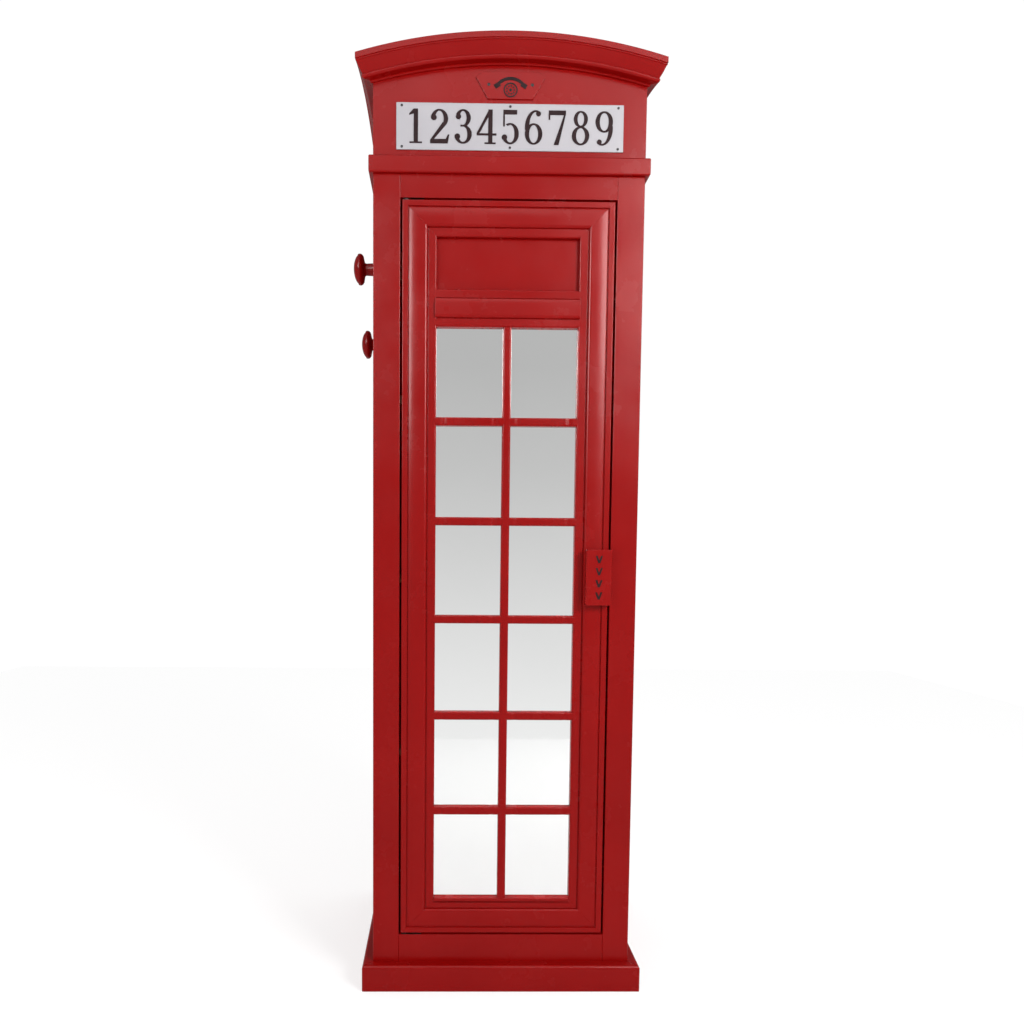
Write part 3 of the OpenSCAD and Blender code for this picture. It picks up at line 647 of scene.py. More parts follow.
BOARDS = (
    Boards(("left_stile", "right_stile", "top_rail", "bottom_rail", "header_left", "header_right",
            "header_back", "left_side_panel", "right_side_panel", "plinth_back")),
    Boards(("bottom_board", "top_board", "roof_panel"), edge=0.4 * MM),
    Boards(("shelf_lower", "shelf_middle", "shelf_upper", "wall_fixing_rail", "plinth_corner_blocks"),
           edge=0.7 * MM, finish=WOOD),
    Boards(("retaining_strips", "mirror_backing"), edge=0.4 * MM, finish=WOOD_UPRIGHT, body=Body.DOOR),
    Boards(("door_panel",), edge=0.5 * MM, body=Body.DOOR),
    Boards(("catch_housing",), edge=0.8 * MM, finish=PLASTIC),
)


@dataclass
class CornerRun:
    """A moulding round the front and both sides, mitred at the front corners.

    Attributes:
        stem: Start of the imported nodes' names; they end in _front, _left and _right.
        edge: Width of the eased edges.
    """

    stem: str
    edge: float = 0.5 * MM

    def section(self, deep: float, low: float, high: float) -> list[Point]:
        """Section of the run.

        Args:
            deep: Thickness, from the outer face inward.
            low: Height of its lower edge.
            high: Height of its upper edge.

        Returns:
            Points as (distance in from the outer face, height).
        """
        raise NotImplementedError

    def front(self) -> Piece:
        """The front length between its mitres."""
        low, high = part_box(self.stem + "_front")
        points = self.section(high.y - low.y, low.z, high.z)
        section = [(low.x, low.y + u, z) for u, z in points]
        piece = Piece.member(self.stem + "_front_run", section, (high.x - low.x, 0, 0))
        piece.cut((high.x, low.y, 0), (1, 1, 0))
        piece.cut((low.x, low.y, 0), (-1, 1, 0))
        return piece

    def side(self) -> Piece:
        """The left length, mitred at the front and square at the back."""
        low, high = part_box(self.stem + "_left")
        points = self.section(high.x - low.x, low.z, high.z)
        section = [(low.x + u, low.y, z) for u, z in points]
        piece = Piece.member(self.stem + "_left_run", section, (0, high.y - low.y, 0))
        piece.cut((low.x, low.y, 0), (1, -1, 0))
        return piece

    def build(self) -> None:
        """Model the three lengths and hand them over."""
        front = self.front().ease(self.edge)
        left = self.side().ease(self.edge)
        right = left.twin(self.stem + "_right_run", MIRROR_X)
        for piece, end in ((front, "_front"), (left, "_left"), (right, "_right")):
            piece.hand_over(Body.CABINET, RED, [self.stem + end])


@dataclass
class Plinth(CornerRun):
    """Plinth boards round the foot, rounded along the top of the outer face.

    Attributes:
        top_round: Radius of that edge.
    """

    stem: str = "plinth"
    edge: float = 1.2 * MM
    top_round: float = 6 * MM

    def section(self, deep: float, low: float, high: float) -> list[Point]:
        """A board with its upper outer edge rounded."""
        top = arc((self.top_round, high - self.top_round), self.top_round, 180, 90, 10)
        return [(0, low)] + top + [(deep, high), (deep, low)]


@dataclass
class Band(CornerRun):
    """The band above the door, rounded along both outer edges.

    Attributes:
        nose: Radius of those edges.
    """

    stem: str = "band"
    nose: float = 3 * MM

    def section(self, deep: float, low: float, high: float) -> list[Point]:
        """A strip with both outer edges rounded."""
        upper = arc((self.nose, high - self.nose), self.nose, 90, 180, 8)
        lower = arc((self.nose, low + self.nose), self.nose, 180, 270, 8)
        return [(deep, low), (deep, high)] + upper + lower


@dataclass
class Crown(CornerRun):
    """The arched crown: fascia, bead, raking face, a torus along the lip, soffit and a thin strip.

    Every place in the section is (drop below the arch, stand-out from the header).

    Attributes:
        radius: Radius of the front arch along its top.
        high: Height of the whole section.
        fascia: Height of the fascia.
        bead: Place of the bead's centre.
        bead_radius: Its radius.
        face_end: Where the raking face ends.
        swell: How far the raking face bulges.
        torus: Place of the torus's centre.
        torus_radius: Its radius.
        strip: Place of the strip's rounding.
        strip_radius: Its radius.
        foot: Stand-out of the section's lowest corner.
        step: Small drop between two neighbouring members.
        steps: Steps of each arch.
    """

    stem: str = "crown"
    edge: float = 0.3 * MM
    radius: float = 1000 * MM
    high: float = 44 * MM
    fascia: float = 10 * MM
    bead: Point = (12.2 * MM, 27.6 * MM)
    bead_radius: float = 1.6 * MM
    face_end: Point = (32 * MM, 18.3 * MM)
    swell: float = 0.5 * MM
    torus: Point = (35.8 * MM, 14.6 * MM)
    torus_radius: float = 4.2 * MM
    strip: Point = (42.3 * MM, 3.1 * MM)
    strip_radius: float = 1.5 * MM
    foot: float = 2.6 * MM
    step: float = 0.4 * MM
    steps: int = 64

    def drop_section(self, deep: float) -> list[Point]:
        """The section, for a fascia that stands out by the given depth."""
        start = self.bead[0] + self.bead_radius
        fall = self.face_end[0] - start
        lean = self.face_end[1] - self.bead[1]
        shares = [index / 12 for index in range(13)]
        face = [(start + fall * share, self.bead[1] + lean * share + self.swell * math.sin(math.pi * share))
                for share in shares]
        soffit = (self.torus[0] + self.torus_radius + self.step, self.strip[1] + self.strip_radius)
        return ([(0, 0), (0, deep), (self.fascia, deep), (self.fascia + self.step, self.bead[1] + 1 * MM)]
                + arc(self.bead, self.bead_radius, 140, 30, 8)
                + face
                + arc(self.torus, self.torus_radius, 135, 0, 14)
                + [soffit]
                + arc(self.strip, self.strip_radius, 90, 0, 6)
                + [(self.high, self.foot), (self.high, 0)])

    def side_arch(self) -> tuple[float, float, float]:
        """Middle, centre height and radius of the side arch, which meets the front arch at the corners."""
        front_low, front_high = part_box("crown_front")
        low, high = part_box("crown_left")
        corner = front_high.z - self.radius + math.sqrt(self.radius ** 2 - front_high.x ** 2)
        half = (high.y - low.y) / 2
        rise = high.z - corner
        radius = (half ** 2 + rise ** 2) / (2 * rise)
        return (low.y + high.y) / 2, high.z - radius, radius

    def front(self) -> Piece:
        """The front arch between its mitres."""
        low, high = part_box("crown_front")
        centre_z = high.z - self.radius
        turn = math.asin(high.x / (self.radius - 60 * MM))
        section = [((self.radius - drop) * math.sin(turn), high.y - out,
                    centre_z + (self.radius - drop) * math.cos(turn))
                   for drop, out in self.drop_section(high.y - low.y)]
        piece = Piece.swept("crown_front_run", section, (0, high.y, centre_z), (0, 1, 0),
                            2 * math.degrees(turn), self.steps)
        piece.cut((high.x, low.y, 0), (1, 1, 0))
        piece.cut((low.x, low.y, 0), (-1, 1, 0))
        return piece

    def side(self) -> Piece:
        """The left arch, mitred at the front and square at the back."""
        low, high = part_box("crown_left")
        middle, centre_z, radius = self.side_arch()
        turn = math.asin((high.y - middle) / (radius - 60 * MM))
        section = [(high.x - out, middle - (radius - drop) * math.sin(turn),
                    centre_z + (radius - drop) * math.cos(turn))
                   for drop, out in self.drop_section(high.x - low.x)]
        piece = Piece.swept("crown_left_run", section, (high.x, middle, centre_z), (1, 0, 0),
                            2 * math.degrees(turn), self.steps)
        piece.cut((low.x, low.y, 0), (1, -1, 0))
        piece.cut((low.x, high.y, 0), (0, 1, 0))
        return piece


@dataclass
class Header:
    """Front board under the crown, its top cut to the arch.

    Attributes:
        drop: How far the board stays under the crown's top line.
        steps: Chords of the arched edge.
    """

    drop: float = 3 * MM
    steps: int = 40

    def front(self) -> Piece:
        """The front board, its top following the front arch."""
        low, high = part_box("header_front")
        radius = Crown.radius - self.drop
        turn = math.degrees(math.asin(high.x / radius))
        top = arc((0, high.z - radius), radius, 90 - turn, 90 + turn, self.steps)
        section = [(low.x, low.y, low.z), (high.x, low.y, low.z)] + [(x, low.y, z) for x, z in top]
        return Piece.member("header_front_board", section, (0, high.y - low.y, 0))

    def build(self) -> None:
        """Model the board and sand its edges."""
        front = self.front()
        front.ease(0.5 * MM)
        front.hand_over(Body.CABINET, RED, ["header_front"])


@dataclass
class DoorFrame:
    """Moulded members of the door.

    Attributes:
        fillet: Flat along the outer edge.
        quirk: Width of the grooves beside the cushion.
        quirk_deep: Depth of the outer groove.
        cushion: Width of the raised cushion.
        outer: Width of its outer curve.
        inner: Width of its inner curve.
        ledge: Depth of the flat inside the cushion.
        groove_deep: Depth of the inner groove below the ledge.
        outer_groove_deep: Depth of the outer groove below the cushion's foot.
        corner: Radius of the door's outer corner.
        ledge_over: How far the bottom rail's plain ledge reaches under its moulding.
        edge: Radius of the inner edge.
        recess: Depth of the mirror.
        rebate: Width of the rebate behind.
        top_flat: Flat along the top of the middle rail.
        curve_steps: Chords in each curve.
    """

    fillet: float = 11 * MM
    quirk: float = 1.5 * MM
    quirk_deep: float = 2.5 * MM
    cushion: float = 35.5 * MM
    outer: float = 21 * MM
    inner: float = 6 * MM
    ledge: float = 4.5 * MM
    groove_deep: float = 1.5 * MM
    outer_groove_deep: float = 0.6 * MM
    corner: float = 2 * MM
    ledge_over: float = 5 * MM
    edge: float = 3 * MM
    recess: float = 14 * MM
    rebate: float = 10 * MM
    top_flat: float = 16 * MM
    curve_steps: int = 12

    def section(self, width: float, thick: float) -> list[Point]:
        """Section of a member: distance from its outer edge, and depth behind the door's face.

        Args:
            width: Width of the member.
            thick: Thickness of the door.

        Returns:
            The corners of the section.
        """
        start = self.fillet + self.quirk
        end = start + self.cushion
        groove = self.ledge + self.groove_deep
        steps = self.curve_steps
        rise = ellipse((start + self.outer, self.quirk_deep), (self.outer, -self.quirk_deep), 180, 90, steps)
        fall = ellipse((end - self.inner, self.ledge), (self.inner, -self.ledge), 90, 0, steps)
        round_edge = [(u, -v) for u, v in
                      arc((width - self.edge, -self.ledge - self.edge), self.edge, 90, 0, 6)]
        outer_edge = [(u, -v) for u, v in arc((self.corner, -self.corner), self.corner, 180, 90, 5)]
        quirk_foot = self.quirk_deep + self.outer_groove_deep
        return (outer_edge
                + [(self.fillet, 0), (self.fillet + 0.2 * MM, quirk_foot), (start, quirk_foot)]
                + rise + fall
                + [(end, groove), (end + self.quirk, groove), (end + self.quirk, self.ledge)]
                + round_edge
                + [(width, self.recess), (width - self.rebate, self.recess), (width - self.rebate, thick),
                   (0, thick)])

    def upright(self, node: str) -> Piece:
        """The left stile, mitred at both ends."""
        low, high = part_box(node)
        section = [(low.x + u, low.y + v, low.z) for u, v in self.section(high.x - low.x, high.y - low.y)]
        piece = Piece.member("moulded_left_stile", section, (0, 0, high.z - low.z))
        piece.cut((low.x, low.y, high.z), (1, 0, 1))
        piece.cut((low.x, low.y, low.z), (1, 0, -1))
        return piece

    def level(self, node: str, name: str, top: bool, width: float) -> Piece:
        """The top or bottom rail, mitred at both ends.

        Args:
            node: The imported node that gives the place.
            name: The new piece's name.
            top: True for the top rail.
            width: Width of the moulded member.

        Returns:
            The piece.
        """
        low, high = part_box(node)
        edge_z, sign = (high.z, -1) if top else (low.z, 1)
        section = [(low.x, low.y + v, edge_z + sign * u) for u, v in self.section(width, high.y - low.y)]
        piece = Piece.member(name, section, (high.x - low.x, 0, 0))
        piece.cut((high.x, low.y, edge_z), (1, 0, sign))
        piece.cut((low.x, low.y, edge_z), (-1, 0, sign))
        return piece

    def bottom_ledge(self, width: float) -> Piece:
        """The plain ledge above the bottom rail's moulding."""
        low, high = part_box("door_bottom_rail")
        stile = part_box("door_left_stile")[1].x
        z0 = low.z + width - self.ledge_over
        face = low.y + self.ledge
        nose = arc((face + self.edge, high.z - self.edge), self.edge, 180, 90, 6)
        back = low.y + self.recess
        section = [(stile, y, z) for y, z in
                   [(face, z0)] + nose + [(back, high.z), (back, z0)]]
        return Piece.member("bottom_rail_ledge", section, (-2 * stile, 0, 0))

    def middle(self) -> Piece:
        """The middle rail, its cushion lying above a flat and below a smaller one."""
        low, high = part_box("door_middle_rail")
        tall = high.z - low.z
        top = tall - self.top_flat - self.quirk
        foot = top - self.cushion
        groove = self.ledge + self.groove_deep
        steps = self.curve_steps
        points = [(self.recess, 0)]
        points += arc((self.ledge + self.edge, self.edge), self.edge, 270, 180, steps)
        points += [(self.ledge, foot - self.quirk), (groove, foot - self.quirk), (groove, foot)]
        points += ellipse((self.ledge, foot + self.inner), (self.ledge, self.inner), 270, 180, steps)
        points += ellipse((self.quirk_deep, top - self.outer), (self.quirk_deep, self.outer), 180, 90, steps)
        points += [(groove, top), (groove, top + self.quirk), (self.ledge, top + self.quirk)]
        points += arc((self.ledge + self.edge, tall - self.edge), self.edge, 180, 90, steps)
        points += [(self.recess, tall)]
        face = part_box("door_left_stile")[0].y
        tongue = self.rebate - self.edge
        section = [(low.x + tongue, face + depth, low.z + height) for depth, height in points]
        run = high.x - low.x - 2 * tongue
        return Piece.member("moulded_middle_rail", section, (run, 0, 0))

    def build(self) -> None:
        """Model the members and hand them over."""
        stile_low, stile_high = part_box("door_left_stile")
        width = stile_high.x - stile_low.x
        left = self.upright("door_left_stile")
        right = left.twin("moulded_right_stile", MIRROR_X)
        top = self.level("door_top_rail", "moulded_top_rail", True, width)
        bottom = self.level("door_bottom_rail", "moulded_bottom_rail", False, width)
        bottom.join([self.bottom_ledge(width)])
        middle = self.middle()
        names = {"door_left_stile": left, "door_right_stile": right, "door_top_rail": top,
                 "door_bottom_rail": bottom, "door_middle_rail": middle}
        for node, piece in names.items():
            piece.ease(0.35 * MM, 2, 40)
            piece.hand_over(Body.DOOR, RED, [node])


@dataclass
class Glazing:
    """Glazing bars over the mirror.

    Attributes:
        nose: Radius of the rounded front edges.
        rows: Number of level bars.
        dish: Depth of the shallow dish near each end of a level bar.
        dish_wide: Its width.
        dish_in: Its distance from the bar's visible end.
        steps: Chords of each rounded edge.
    """

    nose: float = 3.5 * MM
    steps: int = 8
    rows: int = 5
    dish: float = 0.9 * MM
    dish_wide: float = 16 * MM
    dish_in: float = 14 * MM

    def press_dish(self, bar: Piece, middle: float) -> None:
        """Sink a shallow dish across a bar's rounded face.

        Args:
            bar: The bar.
            middle: Where along X the dish is deepest.
        """
        reach = self.dish_wide / 2
        cuts = 8
        places = [middle - reach + 2 * reach * index / cuts for index in range(cuts + 1)]
        with bar.editing():
            for x in places:
                bar.pick_all()
                bpy.ops.mesh.bisect(plane_co=(x, 0, 0), plane_no=(1, 0, 0))
            bpy.ops.mesh.select_mode(type="VERT")
            mesh = bmesh.from_edit_mesh(bar.obj.data)
            back = max(vertex.co.y for vertex in mesh.verts)
            for x in places[1:-1]:
                bpy.ops.mesh.select_all(action="DESELECT")
                for vertex in mesh.verts:
                    if abs(vertex.co.x - x) < 0.1 * MM and back - vertex.co.y > 2 * MM:
                        vertex.select_set(True)
                sink = self.dish * (1 + math.cos(math.pi * (x - middle) / reach)) / 2
                bpy.ops.transform.translate(value=(0, sink, 0))

    def level_bars(self, half: float, deep: float) -> None:
        """One level bar, copied to both sides of the upright in every row."""
        low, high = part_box("glazing_bars_horizontal")
        pitch = (high.z - low.z - 2 * half) / (self.rows - 1)
        start = half - self.nose
        section = [(start, high.y - v, low.z + half + u) for u, v in self.section(half, deep)]
        first = Piece.member("level_bar_right_1", section, (high.x - start, 0, 0))
        for middle in (half + self.dish_in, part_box("door_right_stile")[0].x - self.dish_in):
            self.press_dish(first, middle)
        bars = first.grid("level_bar_right", 1, self.rows, (0, pitch))
        for row in range(self.rows):
            bars.append(bars[row].twin(f"level_bar_left_{row + 1}", MIRROR_X))
        for bar in bars:
            bar.hand_over(Body.DOOR, RED, ["glazing_bars_horizontal"])

    def section(self, half: float, deep: float) -> list[Point]:
        """Half-round-nosed section: distance across, and height above the mirror."""
        left = arc((-half + self.nose, deep - self.nose), self.nose, 180, 90, self.steps)
        right = arc((half - self.nose, deep - self.nose), self.nose, 90, 0, self.steps)
        return [(-half, 0)] + left + right + [(half, 0)]

    def build(self) -> None:
        """Model the upright bar and the level bars."""
        low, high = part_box("glazing_bar_vertical")
        half = (high.x - low.x) / 2
        deep = high.y - low.y
        section = [(u, high.y - v, low.z) for u, v in self.section(half, deep)]
        upright = Piece.member("upright_glazing_bar", section, (0, 0, high.z - low.z))
        upright.hand_over(Body.DOOR, RED, ["glazing_bar_vertical"])
        self.level_bars(half, deep)
        glass = Piece.from_node("mirror_sheet", "mirror_glass")
        glass.ease(0.5 * MM)
        glass.hand_over(Body.DOOR, MIRROR, ["mirror_glass"])


@dataclass
class BackPanel:
    """Thin back panel held by rows of small nails.

    Attributes:
        sunk: How far the panel lies in from the nail heads.
        head: Radius of a nail's head.
        edge_in: Distance of the nails from the panel's edge.
        rows: Nails along each upright edge.
    """

    sunk: float = 0.6 * MM
    head: float = 2.6 * MM
    edge_in: float = 9 * MM
    rows: int = 10

    def build(self) -> None:
        """Model the panel, one nail head and its copies."""
        low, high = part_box("back_panel")
        panel = Piece.from_node("back_panel_sheet", "back_panel")
        with panel.editing():
            panel.pick("FACE", lambda middle, way: way.y > 0.9 and middle.y > high.y - 0.1 * MM)
            bpy.ops.transform.translate(value=(0, -self.sunk, 0))
        panel.ease(0.4 * MM)
        panel.hand_over(Body.CABINET, RED, ["back_panel"])
        start = Vector((low.x + self.edge_in, high.y - self.sunk, low.z + 2 * self.edge_in))
        dome = ellipse((0, 0), (self.head, self.sunk), 0, 90, 6)
        outline = [(0, -self.sunk), (self.head, -self.sunk)] + dome
        section = [(start.x + u, start.y + v, start.z) for u, v in outline]
        first = Piece.swept("back_nail_1", section, start, (0, 1, 0), 360, 20)
        pitch = (high.z - low.z - 4 * self.edge_in) / (self.rows - 1)
        for nail in first.grid("back_nail", 2, self.rows, (-2 * start.x, pitch)):
            nail.hand_over(Body.CABINET, STEEL)


@dataclass
class Sign:
    """White sign plate with a turned pin in each hole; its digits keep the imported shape.

    Attributes:
        edge: Width of the plate's bright rounded edge.
        head: Radius of a pin's head.
        collar: Share of the head's height that is straight.
        across: Pins in a row.
        up: Rows of pins.
    """

    edge: float = 0.5 * MM
    head: float = 2.4 * MM
    collar: float = 0.35
    across: int = 3
    up: int = 2

    def plate(self) -> None:
        """The plate, eased all round its face."""
        low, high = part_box("sign_plate")
        plate = Piece.block("sign_plate_enamelled", low, high)
        plate.ease(self.edge, 3)
        plate.hand_over(Body.CABINET, ENAMEL, ["sign_plate"])

    def pins(self) -> None:
        """Domed pin heads, one turned and the others copied."""
        low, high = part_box("sign_pins")
        plate_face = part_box("sign_plate")[0].y
        head = self.head
        tall = plate_face - low.y
        dome = ellipse((0, self.collar * tall), (head, (1 - self.collar) * tall), 0, 90, 6)
        foot = Vector((low.x + head, plate_face, low.z + head))
        section = [(foot.x + u, foot.y - v, foot.z) for u, v in [(0, 0), (head, 0)] + dome]
        first = Piece.swept("sign_pin_1", section, foot, (0, 1, 0), 360, 24)
        step_x = (high.x - low.x - 2 * head) / (self.across - 1)
        step_z = high.z - low.z - 2 * head
        for pin in first.grid("sign_pin", self.across, self.up, (step_x, step_z)):
            pin.hand_over(Body.CABINET, IRON, ["sign_pins"])

    def build(self) -> None:
        """Model the plate and its pins."""
        self.plate()
        self.pins()


@dataclass
class Plaque:
    """Six-sided wooden plaque over the sign.

    Attributes:
        base_half: Half the length of its lower edge.
        wide_z: Height of its widest corners above the lower edge.
        top_half: Half the length of its upper edge.
    """

    base_half: float = 41.5 * MM
    wide_z: float = 39 * MM
    top_half: float = 52 * MM

    def build(self) -> None:
        """Model the plaque with a sanded front edge."""
        low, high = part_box("plaque")
        corners = [(-self.base_half, low.z), (self.base_half, low.z), (high.x, low.z + self.wide_z),
                   (self.top_half, high.z), (-self.top_half, high.z), (low.x, low.z + self.wide_z)]
        section = [(x, low.y, z) for x, z in corners]
        plaque = Piece.member("plaque_board", section, (0, high.y - low.y, 0))
        plaque.ease(0.7 * MM, 3, 20)
        plaque.hand_over(Body.CABINET, RED, ["plaque"])


@dataclass
class CrossScrews:
    """Countersunk wood screws with a cross recess, driven in from the front.

    Attributes:
        node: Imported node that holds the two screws, one at each side.
        head: Radius of the head.
        sink: Height of the countersunk cone.
        proud: How far the domed head stands out of the board.
        shank: Radius of the shank.
        recess: Half length, half width and depth of the cross.
    """

    node: str = "plaque_screws"
    head: float = 2.9 * MM
    sink: float = 2.0 * MM
    proud: float = 0.9 * MM
    shank: float = 1.4 * MM
    recess: tuple[float, float, float] = (1.6 * MM, 0.35 * MM, 0.7 * MM)

    def build(self) -> None:
        """Turn one screw, cut the cross into it and mirror it."""
        low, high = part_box(self.node)
        x = high.x - (high.z - low.z) / 2
        z = (low.z + high.z) / 2
        dome = ellipse((0, low.y), (self.head, -self.proud), 0, 90, 6)
        outline = [(0, high.y), (self.shank * 0.5, high.y - 0.6 * MM), (self.shank, high.y - 3 * MM),
                   (self.shank, low.y + self.sink), (self.head, low.y + 0.2 * MM)] + dome
        section = [(x + u, y, z) for u, y in outline]
        right = Piece.swept("plaque_screw_right", section, (x, low.y, z), (0, 1, 0), 360, 28)
        long, narrow, deep = self.recess
        for across, up in ((long, narrow), (narrow, long)):
            corner = Vector((x - across, low.y - 2 * self.proud, z - up))
            far = Vector((x + across, low.y - self.proud + deep, z + up))
            right.carve(Piece.block("cross_cutter", corner, far))
        left = right.twin("plaque_screw_left", MIRROR_X)
        for screw in (right, left):
            screw.hand_over(Body.CABINET, IRON, [self.node])


@dataclass
class CoatPegs:
    """Two turned pegs on the left side.

    Attributes:
        stem: Radius of the stem.
        head: Thickness of the mushroom head.
        cove: Radius of the cove under the head.
        cove_start: Length of the cove's straight lead-in below the head.
        rim: Radius of the head's rim.
        rim_up: Height of the rim's centre above the underside of the head.
        crown_up: Height above that underside where the domed crown starts.
        steps: Steps of the turning.
    """

    stem: float = 12.5 * MM
    head: float = 21 * MM
    cove: float = 4 * MM
    cove_start: float = 5 * MM
    rim: float = 7 * MM
    rim_up: float = 8 * MM
    crown_up: float = 11 * MM
    steps: int = 64

    def profile(self, radius: float, out: float) -> list[Point]:
        """Outline of the peg as (radius, distance out), from the axis at the foot to the tip."""
        neck = out - self.head
        cove = arc((self.stem + 3 * MM, neck - self.cove_start), self.cove, 180, 90, 8)
        rim = arc((radius - self.rim, neck + self.rim_up), self.rim, -70, 30, 12)
        crown = []
        for index in range(1, 19):
            rise = math.sin(math.radians(5 * index))
            lean = math.cos(math.radians(4.4 * index + 10.8))
            crown.append(((radius - 2 * MM) * lean, neck + self.crown_up + (self.head - self.crown_up) * rise))
        return ([(0, 0), (self.stem + 1.5 * MM, 0), (self.stem, 4 * MM),
                 (self.stem - 1 * MM, neck - self.cove_start)]
                + cove + [(radius - 5 * MM, neck + 1 * MM)] + rim + crown + [(0, out)])

    def build(self) -> None:
        """Turn the upper peg and copy it to the lower one."""
        low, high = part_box("upper_coat_peg")
        middle = (low + high) / 2
        radius = (high.z - low.z) / 2
        foot = Vector((high.x, middle.y, middle.z))
        section = [(foot.x - v, foot.y, foot.z + u) for u, v in self.profile(radius, high.x - low.x)]
        upper = Piece.swept("upper_turned_peg", section, foot, (1, 0, 0), 360, self.steps)
        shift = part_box("lower_coat_peg")[0] - low
        lower = upper.twin("lower_turned_peg", Matrix.Translation(shift))
        upper.hand_over(Body.CABINET, RED, ["upper_coat_peg"], smooth=50)
        lower.hand_over(Body.CABINET, RED, ["lower_coat_peg"], smooth=50)


@dataclass
class Handle:
    """Pull block on the door with engraved chevrons.

    Attributes:
        nose: Radius of its upright front edges.
        lift: How far the engraver stands out of the face, so that it cuts cleanly.
    """

    nose: float = 2.2 * MM
    lift: float = 0.02 * MM

    def build(self) -> None:
        """Model the block, engrave it and hand it over."""
        low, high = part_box("door_handle")
        left = arc((low.x + self.nose, low.y + self.nose), self.nose, 180, 270, 8)
        right = arc((high.x - self.nose, low.y + self.nose), self.nose, 270, 360, 8)
        section = [(x, y, low.z) for x, y in [(low.x, high.y)] + left + right + [(high.x, high.y)]]
        block = Piece.member("pull_block", section, (0, 0, high.z - low.z))
        block.ease(0.8 * MM, 3)
        tool = Piece.from_node("engraver", "handle_marks")
        tool.obj.data.transform(Matrix.Translation((0, -self.lift, 0)))
        block.carve(tool)
        block.hand_over(Body.DOOR, RED, ["door_handle"])


@dataclass
class Dressing:
    """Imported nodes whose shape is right: each keeps its mesh and gets its finish."""

    def build(self) -> None:
        """Dress every node that is still shown, by the record's material slots."""
        slots = {entry["node"]: entry["material_slot"] for entry in frame["record"]["subparts"]}
        for name, node in frame["nodes"].items():
            if node.hide_render:
                continue
            slot = slots[name]
            node.data.materials.clear()
            node.data.materials.append(FINISHES[slot].material())
            LOG.info("%s keeps its mesh in %s", name, slot)


# ---------------------------------------------------------------- studio


class Reach(Enum):
    """What a lamp contributes."""

    DIFFUSE = "diffuse"
    GLOSS = "gloss"


@dataclass
class Softbox:
    """A rectangular studio lamp aimed at a point.

    Attributes:
        name: The lamp's name.
        place: Where it stands.
        aim: What it points at.
        size: Its width and height.
        watts: Its power.
        reach: Whether it gives diffuse light or glossy reflections.
    """

    name: str
    place: Vector3
    aim: Vector3
    size: Point
    watts: float
    reach: Reach

    def build(self) -> None:
        """Add the lamp."""
        data = bpy.data.lights.new(self.name, "AREA")
        data.shape = "RECTANGLE"
        data.size, data.size_y = self.size
        data.energy = self.watts
        lamp = bpy.data.objects.new(self.name, data)
        bpy.context.scene.collection.objects.link(lamp)
        lamp.visible_diffuse = self.reach is not Reach.GLOSS
        lamp.visible_glossy = self.reach is not Reach.DIFFUSE
        lamp.location = self.place
        way = Vector(self.aim) - Vector(self.place)
        lamp.rotation_euler = way.to_track_quat("-Z", "Y").to_euler()


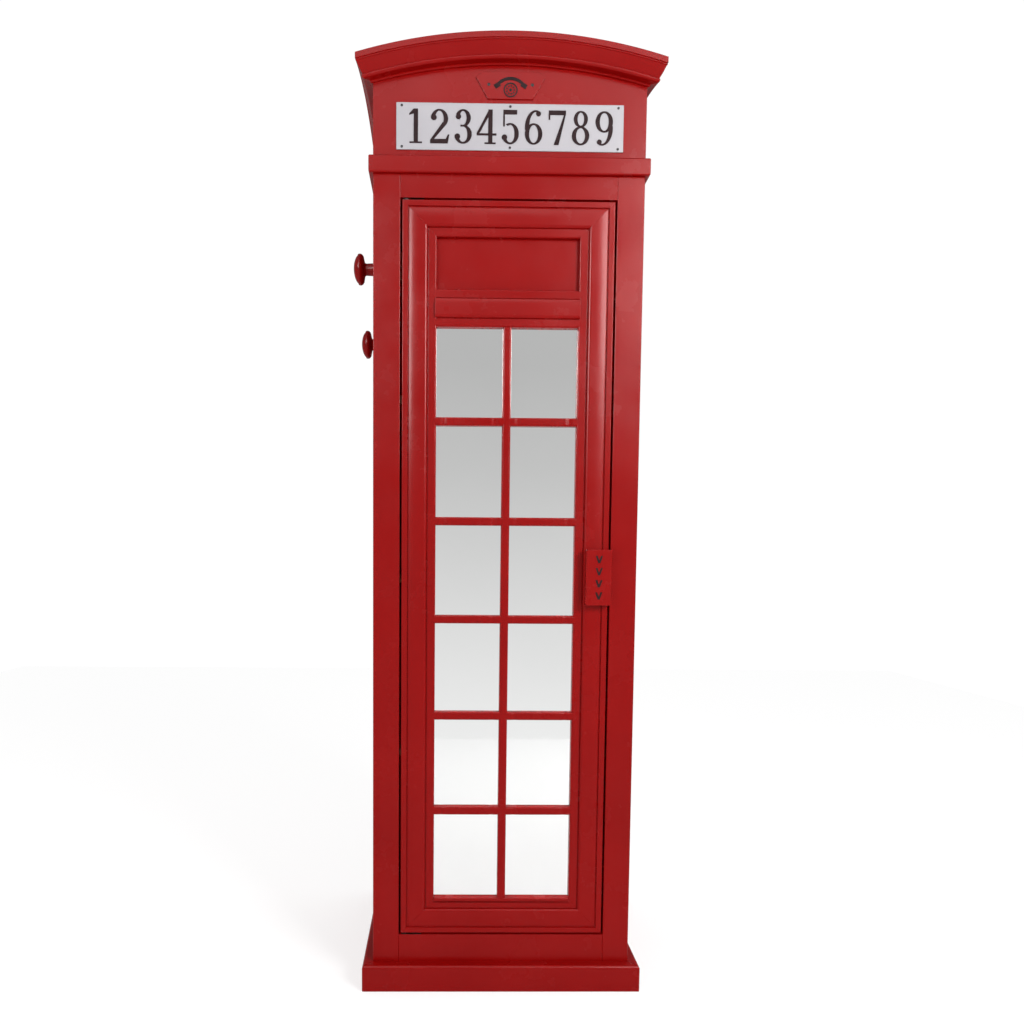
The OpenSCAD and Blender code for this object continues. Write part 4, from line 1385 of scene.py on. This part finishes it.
@dataclass
class Studio:
    """Pale floor, soft surround, lamps and camera.

    Attributes:
        floor_half: Half the floor's width.
        floor_back: How far behind the object the floor's middle is.
        floor_glow: The floor's own glow for light rays, and for the camera.
        behind_white: Brightness of the surround behind, for plain and for glossy rays.
        greys: Brightness of the surround in front, by the height of a direction.
        camera_place: The camera's place.
        camera_turn: Its rotation in degrees.
        lens: Focal length in millimetres.
        shift: Sensor shift across and up.
    """

    floor_half: float = 3.2
    floor_back: float = 0.9
    floor_glow: tuple[float, float] = (0.385, 0.60)
    behind_white: tuple[float, float] = (1.02, 0.22)
    greys: tuple[Point, ...] = ((-0.36, 1.05), (-0.26, 0.955), (-0.14, 0.827), (-0.02, 0.708), (0.1, 0.59),
                                (0.22, 0.51), (0.5, 0.5), (1.0, 0.85))
    camera_place: Vector3 = (-0.1159, -1.7573, 0.8624)
    camera_turn: Vector3 = (86.008, -0.411, -0.743)
    lens: float = 28.125
    shift: Point = (0.0557, 0.0927)
    softboxes: tuple[Softbox, ...] = (
        Softbox("key_right", (1.3, -2.0, 1.7), (0.0, -0.225, 0.5), (0.8, 0.7), 41.0, Reach.DIFFUSE),
        Softbox("fill_left", (-1.5, -1.9, 1.1), (0.0, -0.225, 0.6), (0.7, 0.9), 10.0, Reach.DIFFUSE),
        Softbox("sheen_right", (1.38, -2.1, 2.1), (0.15, -0.225, 1.3), (1.2, 1.1), 120.0, Reach.GLOSS),
        Softbox("sheen_left", (-1.2, -1.9, 1.9), (-0.15, -0.225, 1.2), (1.0, 0.85), 92.0, Reach.GLOSS),
        Softbox("sheen_top", (0.0, -2.2, 3.3), (0.0, -0.225, 1.65), (3.2, 1.3), 60.0, Reach.GLOSS),
    )

    def floor(self) -> None:
        """A pale floor that is not part of the object. It glows a little more for the camera."""
        deselect_all()
        bpy.ops.mesh.primitive_plane_add(size=2 * self.floor_half, location=(0, self.floor_back, 0))
        plane = bpy.context.active_object
        plane.name = "studio_floor"
        material = bpy.data.materials.new("studio_floor")
        material.use_nodes = True
        graph = Graph(material.node_tree)
        matt = graph.add("BsdfDiffuse", {"Color": (0.45, 0.45, 0.45, 1)})
        path = graph.add("LightPath")
        power = graph.add("MapRange", {"Value": path.outputs["Is Camera Ray"],
                                       "To Min": self.floor_glow[0], "To Max": self.floor_glow[1]})
        glow = graph.add("Emission", {"Color": (1, 1, 1, 1), "Strength": power.outputs["Result"]})
        both = graph.add("AddShader")
        graph.tree.links.new(matt.outputs[0], both.inputs[0])
        graph.tree.links.new(glow.outputs[0], both.inputs[1])
        graph.add("OutputMaterial", {"Surface": both.outputs[0]})
        plane.data.materials.append(material)

    def surround(self) -> None:
        """White behind the object; in front of it, white low down and greyer with height."""
        world = bpy.data.worlds.new("surround")
        bpy.context.scene.world = world
        world.use_nodes = True
        graph = Graph(world.node_tree)
        place = graph.add("TexCoord")
        parts = graph.add("SeparateXYZ", {"Vector": place.outputs["Generated"]})
        height = graph.add("MapRange", {"Value": parts.outputs["Z"], "From Min": -1.0, "From Max": 1.0})
        ramp = graph.add("ValToRGB", {"Fac": height.outputs["Result"]})
        stops = ramp.color_ramp
        first, last = self.greys[0], self.greys[-1]
        for stop, (up, grey) in zip(stops.elements, (first, last)):
            stop.position = (up + 1) / 2
            stop.color = (grey, grey, grey, 1)
        for up, grey in self.greys[1:-1]:
            stop = stops.elements.new((up + 1) / 2)
            stop.color = (grey, grey, grey, 1)
        behind = graph.add("MapRange", {"Value": parts.outputs["Y"], "From Min": -0.2, "From Max": 0.15})
        path = graph.add("LightPath")
        dim = graph.add("MapRange", {"Value": path.outputs["Is Glossy Ray"],
                                     "To Min": self.behind_white[0], "To Max": self.behind_white[1]})
        colour = graph.mix(behind.outputs["Result"], ramp.outputs["Color"], dim.outputs["Result"])
        sky = graph.add("Background", {"Color": colour, "Strength": 1.0})
        graph.add("OutputWorld", {"Surface": sky.outputs[0]})

    def camera(self) -> None:
        """The camera at the viewing angle of the finished picture."""
        data = bpy.data.cameras.new("camera")
        data.sensor_width = 36.0
        data.lens = self.lens
        data.shift_x, data.shift_y = self.shift
        data.clip_start = 0.05
        camera = bpy.data.objects.new("camera", data)
        bpy.context.scene.collection.objects.link(camera)
        camera.location = self.camera_place
        camera.rotation_euler = [math.radians(angle) for angle in self.camera_turn]
        bpy.context.scene.camera = camera

    def build(self) -> None:
        """Set up the whole studio."""
        self.floor()
        self.surround()
        for softbox in self.softboxes:
            softbox.build()
        self.camera()
        bpy.context.scene.view_settings.view_transform = "Standard"


def main() -> None:
    """Build every sub-assembly in order."""
    logging.basicConfig(level=logging.INFO, format="%(name)s %(message)s")
    for part in (Plinth(), Band(), Crown(), Header()):
        part.build()
    for boards in BOARDS:
        boards.build()
    for part in (BackPanel(), Sign(), Plaque(), CrossScrews(), CoatPegs(), DoorFrame(), Glazing(), Handle()):
        part.build()
    Dressing().build()
    Studio().build()


if __name__ == "__main__":
    main()
